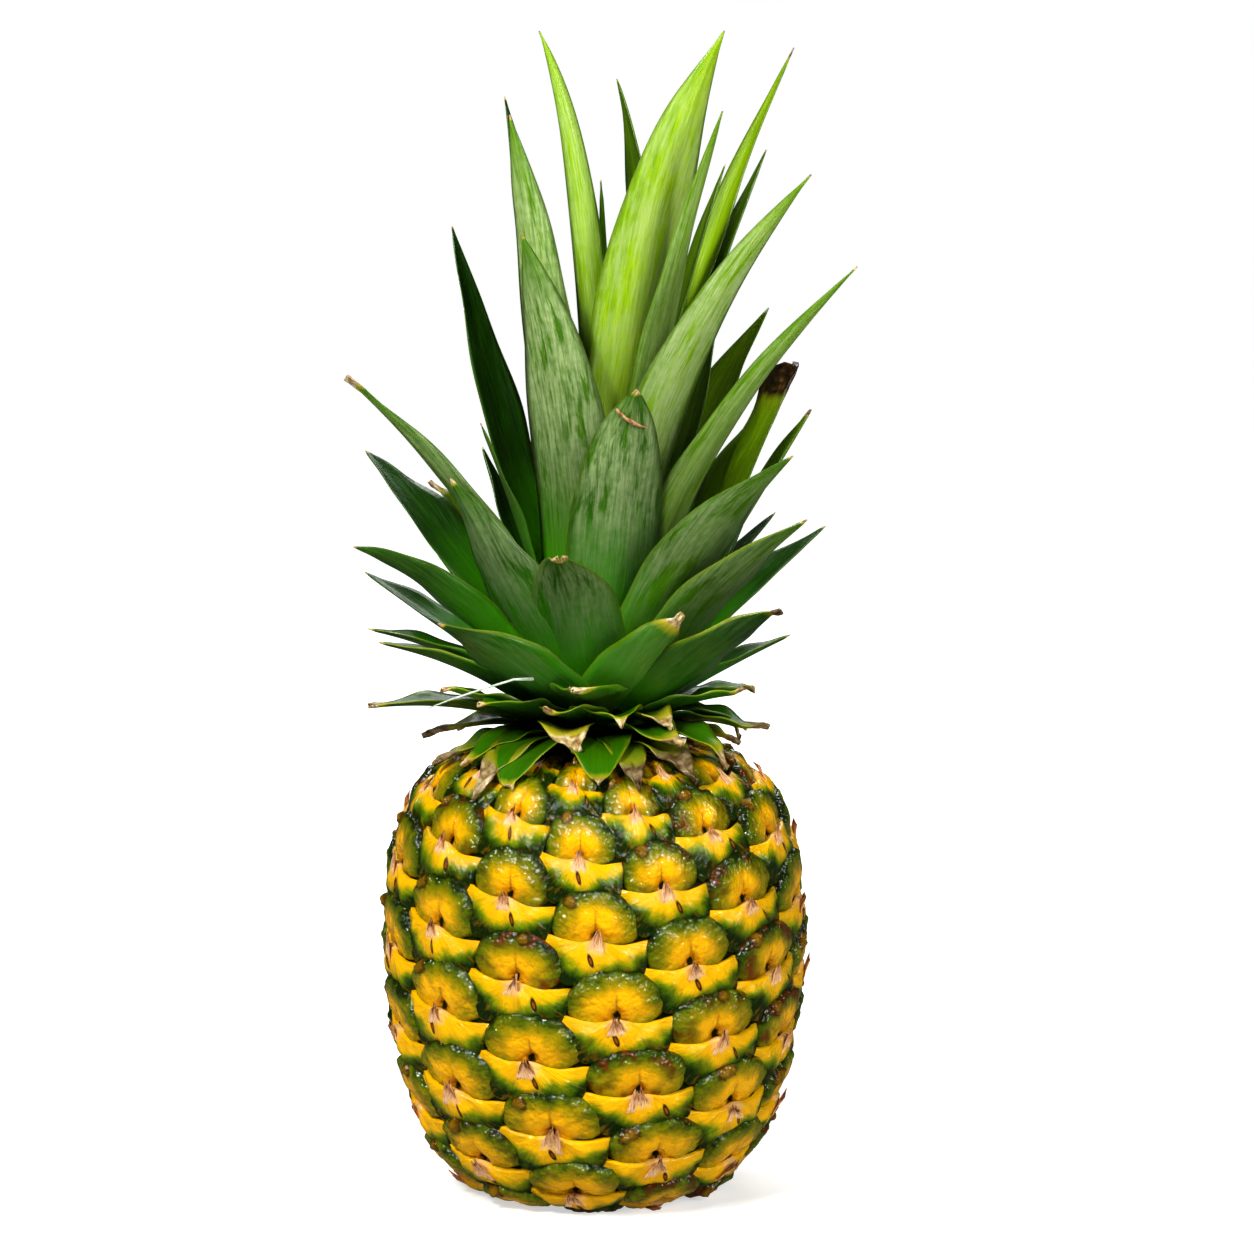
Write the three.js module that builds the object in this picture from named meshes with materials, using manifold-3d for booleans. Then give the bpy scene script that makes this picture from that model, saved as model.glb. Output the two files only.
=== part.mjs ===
// A pineapple with its crown of leaves, standing upright on its cut stalk end.
// Millimetres, +Z up. The origin is the middle of the cut stalk end, on the ground.

import * as THREE from "three";
import { mergeVertices } from "three/addons/utils/BufferGeometryUtils.js";
import Module from "manifold-3d";

const wasm = await Module();
wasm.setup();

// Fruit body: a barrel, widest a little above its middle
const FRUIT_HEIGHT = 127;
const BELLY_RADIUS = 60;
const BELLY_HEIGHT = 72;
const FOOT_RADIUS = 29;
const TOP_RADIUS = 24;
const LOWER_ROUNDNESS = 2;
const UPPER_ROUNDNESS = 2.6;
const PROFILE_STEPS = 120;

// Fruitlets: each one sits on a rising row of 8 and a falling row of 5 that close round the fruit
const ROWS_RISING = 8;
const ROWS_FALLING = 5;
const STEP_RISING = rad(24.1);
const STEP_FALLING = (2 * Math.PI - ROWS_FALLING * STEP_RISING) / ROWS_RISING;
const FIRST_AZIMUTH = rad(0.9);
const FIRST_ARC = 10.45;
const RISE_PER_FRUITLET = 1.55;

// Unevenness of the rows: the front is lower than the back and the sides, and bunches to the middle
const FRONT_DROP = 9.7;
const RIGHT_DROP = 2;
const BUNCHING = 0.1;
const BUNCHING_GROWTH = 0.31;
const STRETCH = 6.2;
const STRETCH_RIGHT = 1.7;
const STRETCH_SPAN = 60;

// A fruitlet's cell is a hexagon, split into rings from its sunken middle out to the groove round it
const RINGS = 3;
const NET_REACH = 100 * RINGS;
const DOME_RELIEF = [0.6, 2.4, 3.3, 0];
const BRACT_RELIEF = [0.6, 3.0, 1.8, 0];
const DOME_SHARPNESS = 1.5;
const CREST_LEVEL = 3;
const DISC_OVERLAP = 7;
const END_HOLLOW = 3;

// Cut stalk, flush with the foot in a recess of the fruit
const STALK_RADIUS = 15;
const STALK_DEPTH = 6;
const STALK_BEVEL = 0.6;
const STALK_SIDES = 40;
const GAP = 0.3;

// Crown stem: radius at each height above the fruit's top
const STEM = [[0, 19], [22, 15], [45, 10], [60, 5], [66, 0]];
const STEM_SIDES = 18;
const LEAF_SINK = 3;

// Leaf blades
const MIDRIB_THICKNESS = 1.5;
const EDGE_THICKNESS = 0.8;
const FULL_WIDTH_FROM_TIP = 0.55;
const TAPER_POWER = 1.65;
const CLASP_WIDTH = 0.86;
const CLASP_LENGTH = 0.2;
const TWIST_LENGTH = 0.4;
const BLUNT_TIP_START = 0.5;
const BLUNT_TIP_GROWTH = 12;
const MIN_HALF_WIDTH = 0.7;
const CLEAR_OF_FRUIT = 1.0;
const SECTION_LENGTH = 19;
const FEWEST_SECTIONS = 4;
const MOST_SECTIONS = 8;

// Leaves that show from the front. Azimuth 0 faces the front (-Y), +90 is +X. Columns:
// azimuth at root and tip, root height, lean at the root (degrees from upright), length of that
// lean (share of the leaf), reach and height of the tip, width, channel depth, turn, tip width share
const FRONT_LEAVES = [
  [37, 72, 160, 1, 0.62, 38, 328, 29, 0.25, 0, 0],
  [30, 55, 154, 0, 0.49, 72, 289, 16, 0.3, 18, 0],
  [-22, -28, 156, 3, 0.55, 41, 273, 24, 0.3, 0, 0],
  [-46, -50, 164, 6, 0.6, 30, 305, 19, 0.3, 10, 0],
  [-140, -140, 168, 8, 0.5, 40, 310, 15, 0.3, 0, 0],
  [16, -70, 172, 3, 0.75, 16, 328, 9, 0.3, 0, 0],
  [60, 30, 174, 0, 0.5, 4, 287, 10, 0.3, 0, 0],
  [115, 165, 168, 14, 0.6, 25, 315, 21, 0.3, 0, 0],
  [60, 60, 168, 8, 0.55, 41, 306, 13, 0.3, 10, 0],
  [125, 125, 162, 10, 0.5, 70, 324, 14, 0.3, 0, 0],
  [110, 112, 166, 8, 0.5, 40, 291, 14, 0.3, 0, 0],
  [115, 115, 162, 12, 0.5, 54, 295, 16, 0.3, 0, 0],
  [48, 64, 146, 6, 0.43, 80, 264, 12, 0.35, 18, 0],
  [135, 132, 152, 20, 0.5, 68, 249, 24, 0.3, 0, 0],
  [112, 116, 148, 34, 0.55, 64, 234, 26, 0.3, 0, 0.6],
  [108, 110, 144, 35, 0.5, 66, 221, 20, 0.3, 0, 0.1],
  [16, 18, 142, 12, 0.75, 39, 231, 27, 0.3, 0, 0],
  [-10, -11, 138, 22, 0.6, 54, 187, 26, 0.35, 0, 0.2],
  [42, 52, 140, 22, 0.5, 69, 213, 24, 0.35, 12, 0],
  [108, 110, 142, 45, 0.5, 49, 201, 18, 0.3, 0, 0],
  [54, 58, 137, 32, 0.5, 69, 195, 24, 0.35, 12, 0],
  [94, 96, 139, 42, 0.5, 66, 189, 19, 0.35, -15, 0],
  [125, 125, 144, 44, 0.5, 64, 190, 14, 0.3, 0, 0],
  [48, 54, 135, 52, 0.5, 63, 171, 24, 0.35, 12, 0.12],
  [92, 96, 136, 58, 0.5, 56, 158, 17, 0.35, 0, 0],
  [-52, -64, 146, 18, 0.42, 75, 234, 20, 0.35, 4, 0.25],
  [-122, -128, 156, 20, 0.62, 52, 273, 15, 0.3, -12, 0],
  [-112, -114, 150, 22, 0.5, 35, 211, 18, 0.3, 0, 0],
  [-84, -84, 152, 12, 0.5, 32, 219, 12, 0.3, 0, 0],
  [-89, -100, 144, 36, 0.7, 66, 210, 24, 0.35, -25, 0],
  [-42, -50, 141, 34, 0.5, 51, 206, 28, 0.35, 0, 0],
  [-66, -72, 140, 40, 0.67, 70, 186, 17, 0.4, 24, 0],
  [-100, -102, 140, 56, 0.5, 67, 175, 17, 0.4, -10, 0],
  [-118, -118, 144, 48, 0.5, 52, 180, 14, 0.3, 0, 0],
  [-86, -86, 137, 50, 0.5, 64, 161, 16, 0.4, 0, 0],
  [-68, -72, 135, 50, 0.5, 63, 159, 17, 0.4, 0, 0],
  [-30, -46, 137, 56, 0.45, 59, 167, 24, 0.35, 10, 0],
  [-80, -84, 133, 68, 0.5, 64, 139, 17, 0.35, 0, 0],
  [-58, -62, 134, 66, 0.5, 48, 147, 17, 0.35, 0, 0],
  [16, 35, 137, 50, 0.5, 44, 169, 22, 0.35, 0, 0.12],
  [98, 100, 135, 66, 0.5, 46, 143, 17, 0.35, 0, 0.3],
  [74, 78, 133, 68, 0.55, 49, 131, 17, 0.35, 0, 0.1],
  [105, 105, 132, 74, 0.5, 45, 130, 15, 0.35, 0, 0],
  [34, 38, 135, 64, 0.5, 36, 138, 16, 0.35, 0, 0.2],
  [-3, -5, 137, 56, 0.55, 42, 148, 22, 0.35, 0, 0],
  [-20, -10, 132, 64, 0.55, 39, 132, 16, 0.35, 0, 0.2],
  [2, 2, 131, 74, 0.5, 47, 122, 19, 0.3, 0, 0],
  [-34, -30, 131, 78, 0.5, 49, 120, 20, 0.3, 0, 0],
  [-52, -56, 131, 74, 0.5, 44, 125, 15, 0.3, 0, 0],
  [-70, -72, 131, 78, 0.5, 46, 122, 12, 0.3, 0, 0],
  [28, 33, 132, 66, 0.55, 42, 131, 18, 0.35, 0, 0.2],
  [34, 36, 131, 80, 0.5, 48, 122, 15, 0.3, 0, 0],
  [-95, -95, 132, 76, 0.5, 49, 128, 12, 0.3, 0, 0],
];

// Leaves of the far side, from the collar up, a golden angle apart within the back of the crown
const BACK_LEAVES = 16;
const BACK_ROOTS = [132, 160];
const BACK_LEANS = [74, 12];
const BACK_HEIGHTS = [130, 268];
const BACK_REACH = 50;
const BACK_BULGE = 12;
const BACK_NARROWING = 14;
const BACK_WIDTHS = [17, 23];
const BACK_CHANNEL = 0.33;
const BACK_SPREAD = 62;
const BACK_JITTER = 8;
const GOLDEN_SHARE = 0.618034;
const SEED = 7;
const RANDOM_FACTOR = 16807;
const RANDOM_RANGE = 2147483647;

const MATERIALS = {
  fruit: new THREE.MeshStandardMaterial({ color: 0xc9a227, roughness: 0.4, metalness: 0 }),
  crown: new THREE.MeshStandardMaterial({ color: 0x4f7a32, roughness: 0.5, metalness: 0 }),
  stalk: new THREE.MeshStandardMaterial({ color: 0xa58a5a, roughness: 0.8, metalness: 0 }),
};

function rad(degrees) {
  return (degrees * Math.PI) / 180;
}

function lerp(a, b, t) {
  return a + (b - a) * t;
}

function clamp01(t) {
  return Math.min(1, Math.max(0, t));
}

// Horizontal direction that points out of the axis at an azimuth
function outward(azimuth) {
  return new THREE.Vector3(Math.sin(azimuth), -Math.cos(azimuth), 0);
}

// Repeatable random numbers between 0 and 1
function randomSource(seed) {
  let state = seed;
  return () => {
    state = (state * RANDOM_FACTOR) % RANDOM_RANGE;
    return state / RANDOM_RANGE;
  };
}

function geometryOf(points, faces) {
  const geometry = new THREE.BufferGeometry();
  geometry.setAttribute("position", new THREE.Float32BufferAttribute(points.flat(), 3));
  geometry.setIndex(faces.flat());
  return geometry;
}

function solidOf(geometry) {
  const bare = geometry.clone();
  bare.deleteAttribute("normal");
  bare.deleteAttribute("uv");
  const merged = mergeVertices(bare, 1e-4);
  const mesh = new wasm.Mesh({
    numProp: 3,
    vertProperties: new Float32Array(merged.attributes.position.array),
    triVerts: new Uint32Array(merged.index.array),
  });
  return new wasm.Manifold(mesh);
}

// The largest body of a solid, without loose scraps or sealed hollows
function mainBody(solid) {
  const bodies = solid.decompose();
  return bodies.reduce((best, body) => (body.volume() > best.volume() ? body : best));
}

function geometryFromSolid(solid) {
  const mesh = solid.getMesh();
  const geometry = new THREE.BufferGeometry();
  geometry.setAttribute("position", new THREE.BufferAttribute(mesh.vertProperties, 3));
  geometry.setIndex(new THREE.BufferAttribute(mesh.triVerts, 1));
  geometry.computeVertexNormals();
  return geometry;
}

function meshOf(name, solid) {
  const mesh = new THREE.Mesh(geometryFromSolid(solid), MATERIALS[name]);
  mesh.name = name;
  return mesh;
}

// Points of the barrel's side from foot to top, with the arc length from the belly
function barrelProfile(steps) {
  const points = [];
  for (let k = -steps; k <= steps; k += 1) {
    const turn = (Math.abs(k) / steps) * (Math.PI / 2);
    const below = k < 0;
    const power = 2 / (below ? LOWER_ROUNDNESS : UPPER_ROUNDNESS);
    const endRadius = below ? FOOT_RADIUS : TOP_RADIUS;
    const rise = below ? -BELLY_HEIGHT : FRUIT_HEIGHT - BELLY_HEIGHT;
    const radius = endRadius + (BELLY_RADIUS - endRadius) * Math.max(0, Math.cos(turn)) ** power;
    points.push({ radius, z: BELLY_HEIGHT + rise * Math.sin(turn) ** power, arc: 0 });
  }
  for (let k = 1; k < points.length; k += 1) {
    const step = Math.hypot(points[k].radius - points[k - 1].radius, points[k].z - points[k - 1].z);
    points[k].arc = points[k - 1].arc + step;
  }
  const bellyArc = points[steps].arc;
  points.forEach((point) => {
    point.arc -= bellyArc;
  });
  return points;
}

const PROFILE = barrelProfile(PROFILE_STEPS);
const FOOT_ARC = PROFILE[0].arc;
const TOP_ARC = PROFILE[PROFILE.length - 1].arc;

// Radius and height at an arc length, and past both rims the flat discs
function profileAt(arc) {
  if (arc <= FOOT_ARC) return { radius: FOOT_RADIUS - (FOOT_ARC - arc), z: 0, slope: -Math.PI / 2 };
  if (arc >= TOP_ARC) return { radius: TOP_RADIUS - (arc - TOP_ARC), z: FRUIT_HEIGHT, slope: Math.PI / 2 };
  const k = PROFILE.findIndex((point) => point.arc > arc);
  const low = PROFILE[k - 1];
  const high = PROFILE[k];
  const t = (arc - low.arc) / (high.arc - low.arc);
  const slope = Math.atan2(low.radius - high.radius, high.z - low.z);
  return { radius: lerp(low.radius, high.radius, t), z: lerp(low.z, high.z, t), slope };
}

// Height of the barrel's side at a radius near its top
function shoulderHeight(radius) {
  if (radius >= BELLY_RADIUS) return BELLY_HEIGHT;
  const share = clamp01((radius - TOP_RADIUS) / (BELLY_RADIUS - TOP_RADIUS));
  const rise = (1 - share ** UPPER_ROUNDNESS) ** (1 / UPPER_ROUNDNESS);
  return BELLY_HEIGHT + (FRUIT_HEIGHT - BELLY_HEIGHT) * rise;
}

// Azimuth and arc length of a place in the fruitlet rows, with the fruit's own slight unevenness
function rowPlace(a, b) {
  const azimuth = FIRST_AZIMUTH + a * STEP_RISING + b * STEP_FALLING;
  const arc = FIRST_ARC + RISE_PER_FRUITLET * (ROWS_RISING * a - ROWS_FALLING * b);
  const t = arc / STRETCH_SPAN;
  const side = Math.sin(azimuth);
  const drop = FRONT_DROP * (Math.cos(azimuth) - 1) + RIGHT_DROP * side;
  return {
    azimuth: azimuth - side * (BUNCHING + BUNCHING_GROWTH * t),
    arc: arc - drop + t * (STRETCH - STRETCH_RIGHT * side),
  };
}

// How far a place is from a fruitlet's middle: 0 there, 1 on its hexagon
function hexDistance(da, db) {
  return Math.max(Math.abs(2 * da + db), Math.abs(da - db), Math.abs(da + 2 * db));
}

// Relief at a place in the rows: dome above the nearest middle, bract below it, groove round both
function reliefAt(a, b) {
  const corners = [[0, 0], [1, 0], [0, 1], [1, 1]];
  const places = corners.map(([i, j]) => [a - Math.floor(a) - i, b - Math.floor(b) - j]);
  const [da, db] = places.reduce((near, place) => (
    hexDistance(...place) < hexDistance(...near) ? place : near
  ));
  const ring = Math.round(RINGS * hexDistance(da, db));
  const domeShare = clamp01(0.5 + DOME_SHARPNESS * (da - db));
  return lerp(BRACT_RELIEF[ring], DOME_RELIEF[ring], domeShare) - CREST_LEVEL;
}

// A point of the fruit's skin at a place in the rows
function skinPoint(a, b) {
  const place = rowPlace(a, b);
  const side = profileAt(place.arc);
  const relief = reliefAt(a, b);
  const point = outward(place.azimuth).multiplyScalar(side.radius + relief * Math.cos(side.slope));
  point.z = side.z + relief * Math.sin(side.slope);
  return { point, arc: place.arc };
}

// The skin as a net of small triangles that closes round the fruit, with a fan over each end.
// Whole steps p and q of the net run to the corners of the hexagons.
function fruitGeometry() {
  const points = [];
  const index = new Map();
  const inside = [];
  const roundQ = RINGS * 3;
  const roundP = RINGS * (ROWS_RISING + 2 * ROWS_FALLING);

  function vertex(p, q) {
    const turns = Math.floor(q / roundQ);
    const nearP = p - turns * roundP;
    const nearQ = q - turns * roundQ;
    const key = `${nearP},${nearQ}`;
    if (!index.has(key)) {
      const a = (nearP - nearQ) / (3 * RINGS);
      const b = (nearP + 2 * nearQ) / (3 * RINGS);
      const { point, arc } = skinPoint(a, b);
      index.set(key, points.length);
      inside.push(arc > FOOT_ARC - DISC_OVERLAP && arc < TOP_ARC + DISC_OVERLAP);
      points.push(point.toArray());
    }
    return index.get(key);
  }

  const faces = [];
  for (let q = 0; q < roundQ; q += 1) {
    for (let p = -NET_REACH; p < NET_REACH; p += 1) {
      const [here, right, below] = [vertex(p, q), vertex(p + 1, q), vertex(p, q + 1)];
      const far = vertex(p + 1, q + 1);
      const pair = [[here, below, right], [right, below, far]];
      faces.push(...pair.filter((face) => face.every((corner) => inside[corner])));
    }
  }
  closeEnds(points, faces);
  return geometryOf(points, faces);
}

// Joins the open edges at each end to a point on the axis
function closeEnds(points, faces) {
  const edges = new Map();
  faces.forEach(([a, b, c]) => {
    [[a, b], [b, c], [c, a]].forEach(([from, to]) => edges.set(`${from},${to}`, [from, to]));
  });
  const foot = points.length;
  points.push([0, 0, END_HOLLOW], [0, 0, FRUIT_HEIGHT - END_HOLLOW]);
  edges.forEach(([from, to]) => {
    if (edges.has(`${to},${from}`)) return;
    const centre = points[from][2] > BELLY_HEIGHT ? foot + 1 : foot;
    faces.push([to, from, centre]);
  });
}

// A block that covers the fruit between two heights
function slab(low, high) {
  const width = 4 * BELLY_RADIUS;
  const block = new THREE.BoxGeometry(width, width, high - low);
  block.translate(0, 0, (low + high) / 2);
  return solidOf(block);
}

function disc(radius, low, high) {
  const cylinder = new THREE.CylinderGeometry(radius, radius, high - low, STALK_SIDES);
  cylinder.rotateX(Math.PI / 2);
  cylinder.translate(0, 0, (low + high) / 2);
  return solidOf(cylinder);
}

function fruitSolid() {
  const trimmed = solidOf(fruitGeometry()).intersect(slab(0, FRUIT_HEIGHT));
  const recess = disc(STALK_RADIUS + GAP, -GAP, STALK_DEPTH + GAP);
  return mainBody(trimmed.subtract(recess));
}

function stalkSolid() {
  const profile = [
    [0, 0],
    [STALK_RADIUS - STALK_BEVEL, 0],
    [STALK_RADIUS, STALK_BEVEL],
    [STALK_RADIUS, STALK_DEPTH],
    [0, STALK_DEPTH],
  ];
  const lathe = new THREE.LatheGeometry(profile.map(([r, z]) => new THREE.Vector2(r, z)), STALK_SIDES);
  lathe.rotateX(Math.PI / 2);
  return solidOf(lathe);
}

function stemRadius(height) {
  const above = height - FRUIT_HEIGHT;
  const k = Math.max(1, STEM.findIndex(([z]) => z > above));
  const [lowZ, lowR] = STEM[k - 1];
  const [highZ, highR] = STEM[k];
  return lerp(lowR, highR, clamp01((above - lowZ) / (highZ - lowZ)));
}

function stemSolid() {
  const profile = [[0, 0], ...STEM.map(([z, r]) => [r, z])];
  const lathe = new THREE.LatheGeometry(profile.map(([r, z]) => new THREE.Vector2(r, z)), STEM_SIDES);
  lathe.rotateX(Math.PI / 2);
  lathe.translate(0, 0, FRUIT_HEIGHT + GAP);
  return solidOf(lathe);
}

function leafFrom([rootTurn, tipTurn, root, lean, hold, reach, height, width, channel, turn, tip]) {
  return { rootTurn, tipTurn, root, lean, hold, reach, height, width, channel, turn, tip };
}

// Width share along a leaf: clasping base, full blade, long taper
function widthShare(t, tip) {
  const fromTip = clamp01((1 - t) / FULL_WIDTH_FROM_TIP);
  const taper = 1 - (1 - fromTip) ** TAPER_POWER;
  const blunt = tip * clamp01(BLUNT_TIP_START + BLUNT_TIP_GROWTH * fromTip);
  return Math.max(taper, blunt) * lerp(CLASP_WIDTH, 1, clamp01(t / CLASP_LENGTH));
}

// Middle line, side direction and back direction of a leaf at t from root (0) to tip (1)
function leafFrame(leaf, t) {
  const out = outward(rad(leaf.rootTurn));
  const root = out.clone().multiplyScalar(stemRadius(leaf.root) - LEAF_SINK).setZ(leaf.root);
  const tip = outward(rad(leaf.tipTurn)).multiplyScalar(leaf.reach).setZ(leaf.height);
  const rise = out.clone().multiplyScalar(Math.sin(rad(leaf.lean))).setZ(Math.cos(rad(leaf.lean)));
  const knee = root.clone().addScaledVector(rise, leaf.hold * root.distanceTo(tip));
  const curve = new THREE.QuadraticBezierCurve3(root, knee, tip);
  const middle = curve.getPoint(t);
  const along = curve.getTangent(t);
  const across = new THREE.Vector3(-out.y, out.x, 0);
  const side = across.addScaledVector(along, -across.dot(along)).normalize();
  const twist = rad(leaf.turn) * clamp01(t / TWIST_LENGTH) * (leaf.rootTurn > 0 ? -1 : 1);
  side.applyAxisAngle(along, twist);
  const back = new THREE.Vector3().crossVectors(side, along);
  return { middle, side, back };
}

// Ring of six points round a leaf: back face from edge to edge, then the inner face
function leafRing(leaf, t) {
  const { middle, side, back } = leafFrame(leaf, t);
  const half = Math.max(MIN_HALF_WIDTH, (leaf.width * widthShare(t, leaf.tip)) / 2);
  const ring = [-1, 0, 1, 1, 0, -1].map((edge, k) => {
    const thickness = edge === 0 ? lerp(MIDRIB_THICKNESS, EDGE_THICKNESS, t) : EDGE_THICKNESS;
    const depth = (k < 3 ? 0.5 : -0.5) * thickness - Math.abs(edge) * half * leaf.channel;
    return middle.clone().addScaledVector(side, edge * half).addScaledVector(back, depth);
  });
  const lift = Math.max(...ring.map((point) => {
    const radius = Math.hypot(point.x, point.y);
    return shoulderHeight(radius) + CLEAR_OF_FRUIT - point.z;
  }));
  if (lift > 0) ring.forEach((point) => point.setZ(point.z + lift));
  return ring.map((point) => point.toArray());
}

function leafSolid(leaf) {
  const length = Math.hypot(leaf.reach, leaf.height - leaf.root);
  const wanted = Math.round(length / SECTION_LENGTH);
  const sections = THREE.MathUtils.clamp(wanted, FEWEST_SECTIONS, MOST_SECTIONS);
  const points = [];
  for (let k = 0; k <= sections; k += 1) {
    points.push(...leafRing(leaf, k / sections));
  }
  const faces = [[0, 5, 4], [0, 4, 1], [1, 4, 3], [1, 3, 2]];
  for (let k = 0; k < sections; k += 1) {
    const low = 6 * k;
    const high = low + 6;
    for (let n = 0; n < 6; n += 1) {
      const next = (n + 1) % 6;
      const quad = [low + n, low + next, high + next, high + n];
      const split = n < 3 ? [[0, 1, 2], [0, 2, 3]] : [[0, 1, 3], [1, 2, 3]];
      split.forEach((triangle) => faces.push(triangle.map((corner) => quad[corner])));
    }
  }
  const end = 6 * sections;
  faces.push([end, end + 4, end + 5], [end, end + 1, end + 4], [end + 1, end + 3, end + 4]);
  faces.push([end + 1, end + 2, end + 3]);
  return solidOf(geometryOf(points, faces));
}

// Leaves of the far side follow the same habit: low ones short and flat, high ones long and steep
function backLeaves() {
  const random = randomSource(SEED);
  const jitter = () => BACK_JITTER * (random() - 0.5);
  const leaves = [];
  for (let k = 0; k < BACK_LEAVES; k += 1) {
    const level = k / (BACK_LEAVES - 1);
    const rootTurn = 180 + BACK_SPREAD * (2 * ((k * GOLDEN_SHARE) % 1) - 1);
    leaves.push({
      rootTurn,
      tipTurn: rootTurn + jitter(),
      root: lerp(...BACK_ROOTS, level),
      lean: lerp(...BACK_LEANS, level) + jitter(),
      hold: 0.5,
      reach: BACK_REACH + BACK_BULGE * Math.sin(Math.PI * level) - BACK_NARROWING * level,
      height: lerp(...BACK_HEIGHTS, level) + jitter(),
      width: lerp(...BACK_WIDTHS, random()),
      channel: BACK_CHANNEL,
      turn: 0,
      tip: 0,
    });
  }
  return leaves;
}

function crownSolid() {
  const leaves = [...FRONT_LEAVES.map(leafFrom), ...backLeaves()];
  return mainBody(leaves.reduce((crown, leaf) => crown.add(leafSolid(leaf)), stemSolid()));
}

const pineapple = new THREE.Group();
pineapple.add(meshOf("fruit", fruitSolid()));
pineapple.add(meshOf("crown", crownSolid()));
pineapple.add(meshOf("stalk", stalkSolid()));

export default pineapple;
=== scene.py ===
# %% [markdown]
# A ripe pineapple with its crown, standing on its cut stalk end.
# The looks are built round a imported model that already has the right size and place, so this first
# step only opens that frame. Everything below is in metres, +Z up, and the camera looks along +Y.

# %% Open the frame
import math
from functools import partial

import bmesh
import bpy
import numpy as np
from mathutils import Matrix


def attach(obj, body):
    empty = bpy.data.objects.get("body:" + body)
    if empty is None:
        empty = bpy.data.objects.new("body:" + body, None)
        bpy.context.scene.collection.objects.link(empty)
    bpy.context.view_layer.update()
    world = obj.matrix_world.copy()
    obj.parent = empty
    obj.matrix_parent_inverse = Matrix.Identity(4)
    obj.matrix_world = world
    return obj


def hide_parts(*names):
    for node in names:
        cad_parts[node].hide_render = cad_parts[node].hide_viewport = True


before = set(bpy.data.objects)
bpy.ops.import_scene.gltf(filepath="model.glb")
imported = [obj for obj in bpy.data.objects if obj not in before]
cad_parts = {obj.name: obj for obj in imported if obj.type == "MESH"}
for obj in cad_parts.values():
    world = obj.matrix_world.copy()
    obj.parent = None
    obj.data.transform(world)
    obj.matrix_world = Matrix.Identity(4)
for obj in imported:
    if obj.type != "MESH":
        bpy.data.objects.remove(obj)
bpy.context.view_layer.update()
MM = 0.001
scene = bpy.context.scene

# %% [markdown]
# A few small helpers serve every step. One turns the hex colours that people read into the linear
# light that Blender computes with. One adds a node with its settings, and fills its inputs with
# values or links, in the node's own order or by name. One starts a material. One makes a mesh object
# from arrays, with extra values stored on its points, which the materials read later.

# %% Helpers
# The kinds of node that come up most, some of them with the setting that goes with them
MATH = "ShaderNodeMath"
VECTOR = "ShaderNodeVectorMath"
RANGE = "ShaderNodeMapRange"
NOISE = "ShaderNodeTexNoise"
RAMP = "ShaderNodeValToRGB"
SPLIT = "ShaderNodeSeparateXYZ"
JOIN = "ShaderNodeCombineXYZ"
STORED = "ShaderNodeAttribute"
PLUS = (MATH, {"operation": "ADD"})
MINUS = (MATH, {"operation": "SUBTRACT"})
TIMES = (MATH, {"operation": "MULTIPLY"})
TIMES_PLUS = (MATH, {"operation": "MULTIPLY_ADD"})
BLEND = ("ShaderNodeMix", {"data_type": "RGBA"})


def colour(code):
    """Linear red, green, blue and alpha of an sRGB hex value."""
    channels = [int(code[k:k + 2], 16) / 255 for k in (1, 3, 5)]
    return [c / 12.92 if c <= 0.04045 else ((c + 0.055) / 1.055) ** 2.4 for c in channels] + [1.0]


def fill(goal, value):
    """Sets an input to a value or a hex colour, or links a socket or a node's first output to it."""
    if isinstance(value, str) and value.startswith("#"):
        value = colour(value)
    if isinstance(value, bpy.types.Node):
        value = next(socket for socket in value.outputs if socket.enabled)
    if isinstance(value, bpy.types.NodeSocket):
        goal.id_data.links.new(value, goal)
    else:
        goal.default_value = value


def add(tree, kind, *inputs, **settings):
    """Adds a node. Its inputs come in the node's own order, or by name in one dictionary."""
    kind, usual = kind if isinstance(kind, tuple) else (kind, {})
    node = tree.nodes.new(kind)
    for name, value in {**usual, **settings}.items():
        if name == "stops":
            elements = node.color_ramp.elements
            for _ in value[2:]:
                elements.new(0.5)
            for element, (at, code) in zip(elements, value):
                element.position, element.color = at, colour(code)
        else:
            setattr(node, name, value)
    goals = [socket for socket in node.inputs if socket.enabled]
    if inputs and isinstance(inputs[0], dict):
        goals = [next(goal for goal in goals if goal.name == name) for name in inputs[0]]
        inputs = inputs[0].values()
    for goal, value in zip(goals, inputs):
        fill(goal, value)
    return node


def dress(shader, finish):
    """Sets or links a shader's own sockets, by their names."""
    for name, value in finish.items():
        fill(shader.inputs[name], value)


def new_material(name, finish):
    """A material, its shader, and add() with the material's tree filled in."""
    material = bpy.data.materials.new(name)
    material.use_nodes = True
    shader = material.node_tree.nodes["Principled BSDF"]
    dress(shader, finish)
    return material, shader, partial(add, material.node_tree)


def mesh_object(name, points, faces, values):
    """A smooth mesh object from points in millimetres, with values stored on its points."""
    mesh = bpy.data.meshes.new(name)
    mesh.from_pydata((np.asarray(points) * MM).tolist(), [], faces)
    for key, array in values.items():
        array = np.asarray(array, np.float32)
        kind, field = ("FLOAT", "value") if array.ndim == 1 else ("FLOAT_VECTOR", "vector")
        mesh.attributes.new(key, kind, "POINT").data.foreach_set(field, array.ravel())
    mesh.shade_smooth()
    made = bpy.data.objects.new(name, mesh)
    scene.collection.objects.link(made)
    return made


def smooth(low, high, x):
    """0 below low, 1 above high, and a smooth step between them."""
    t = np.clip((np.asarray(x, float) - low) / (high - low), 0, 1)
    return t * t * (3 - 2 * t)


# %% [markdown]
# The photograph was taken from a little above, with a long lens: the fruit's flat foot doesn't show
# and its top shows a narrow strip. A camera 1.2 m away, tilted 7 degrees down, gives that view.
# The floor is a plain pale sheet. Three large soft lamps stand for the studio's light, and two small
# ones give the wet skin its glints.

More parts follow.
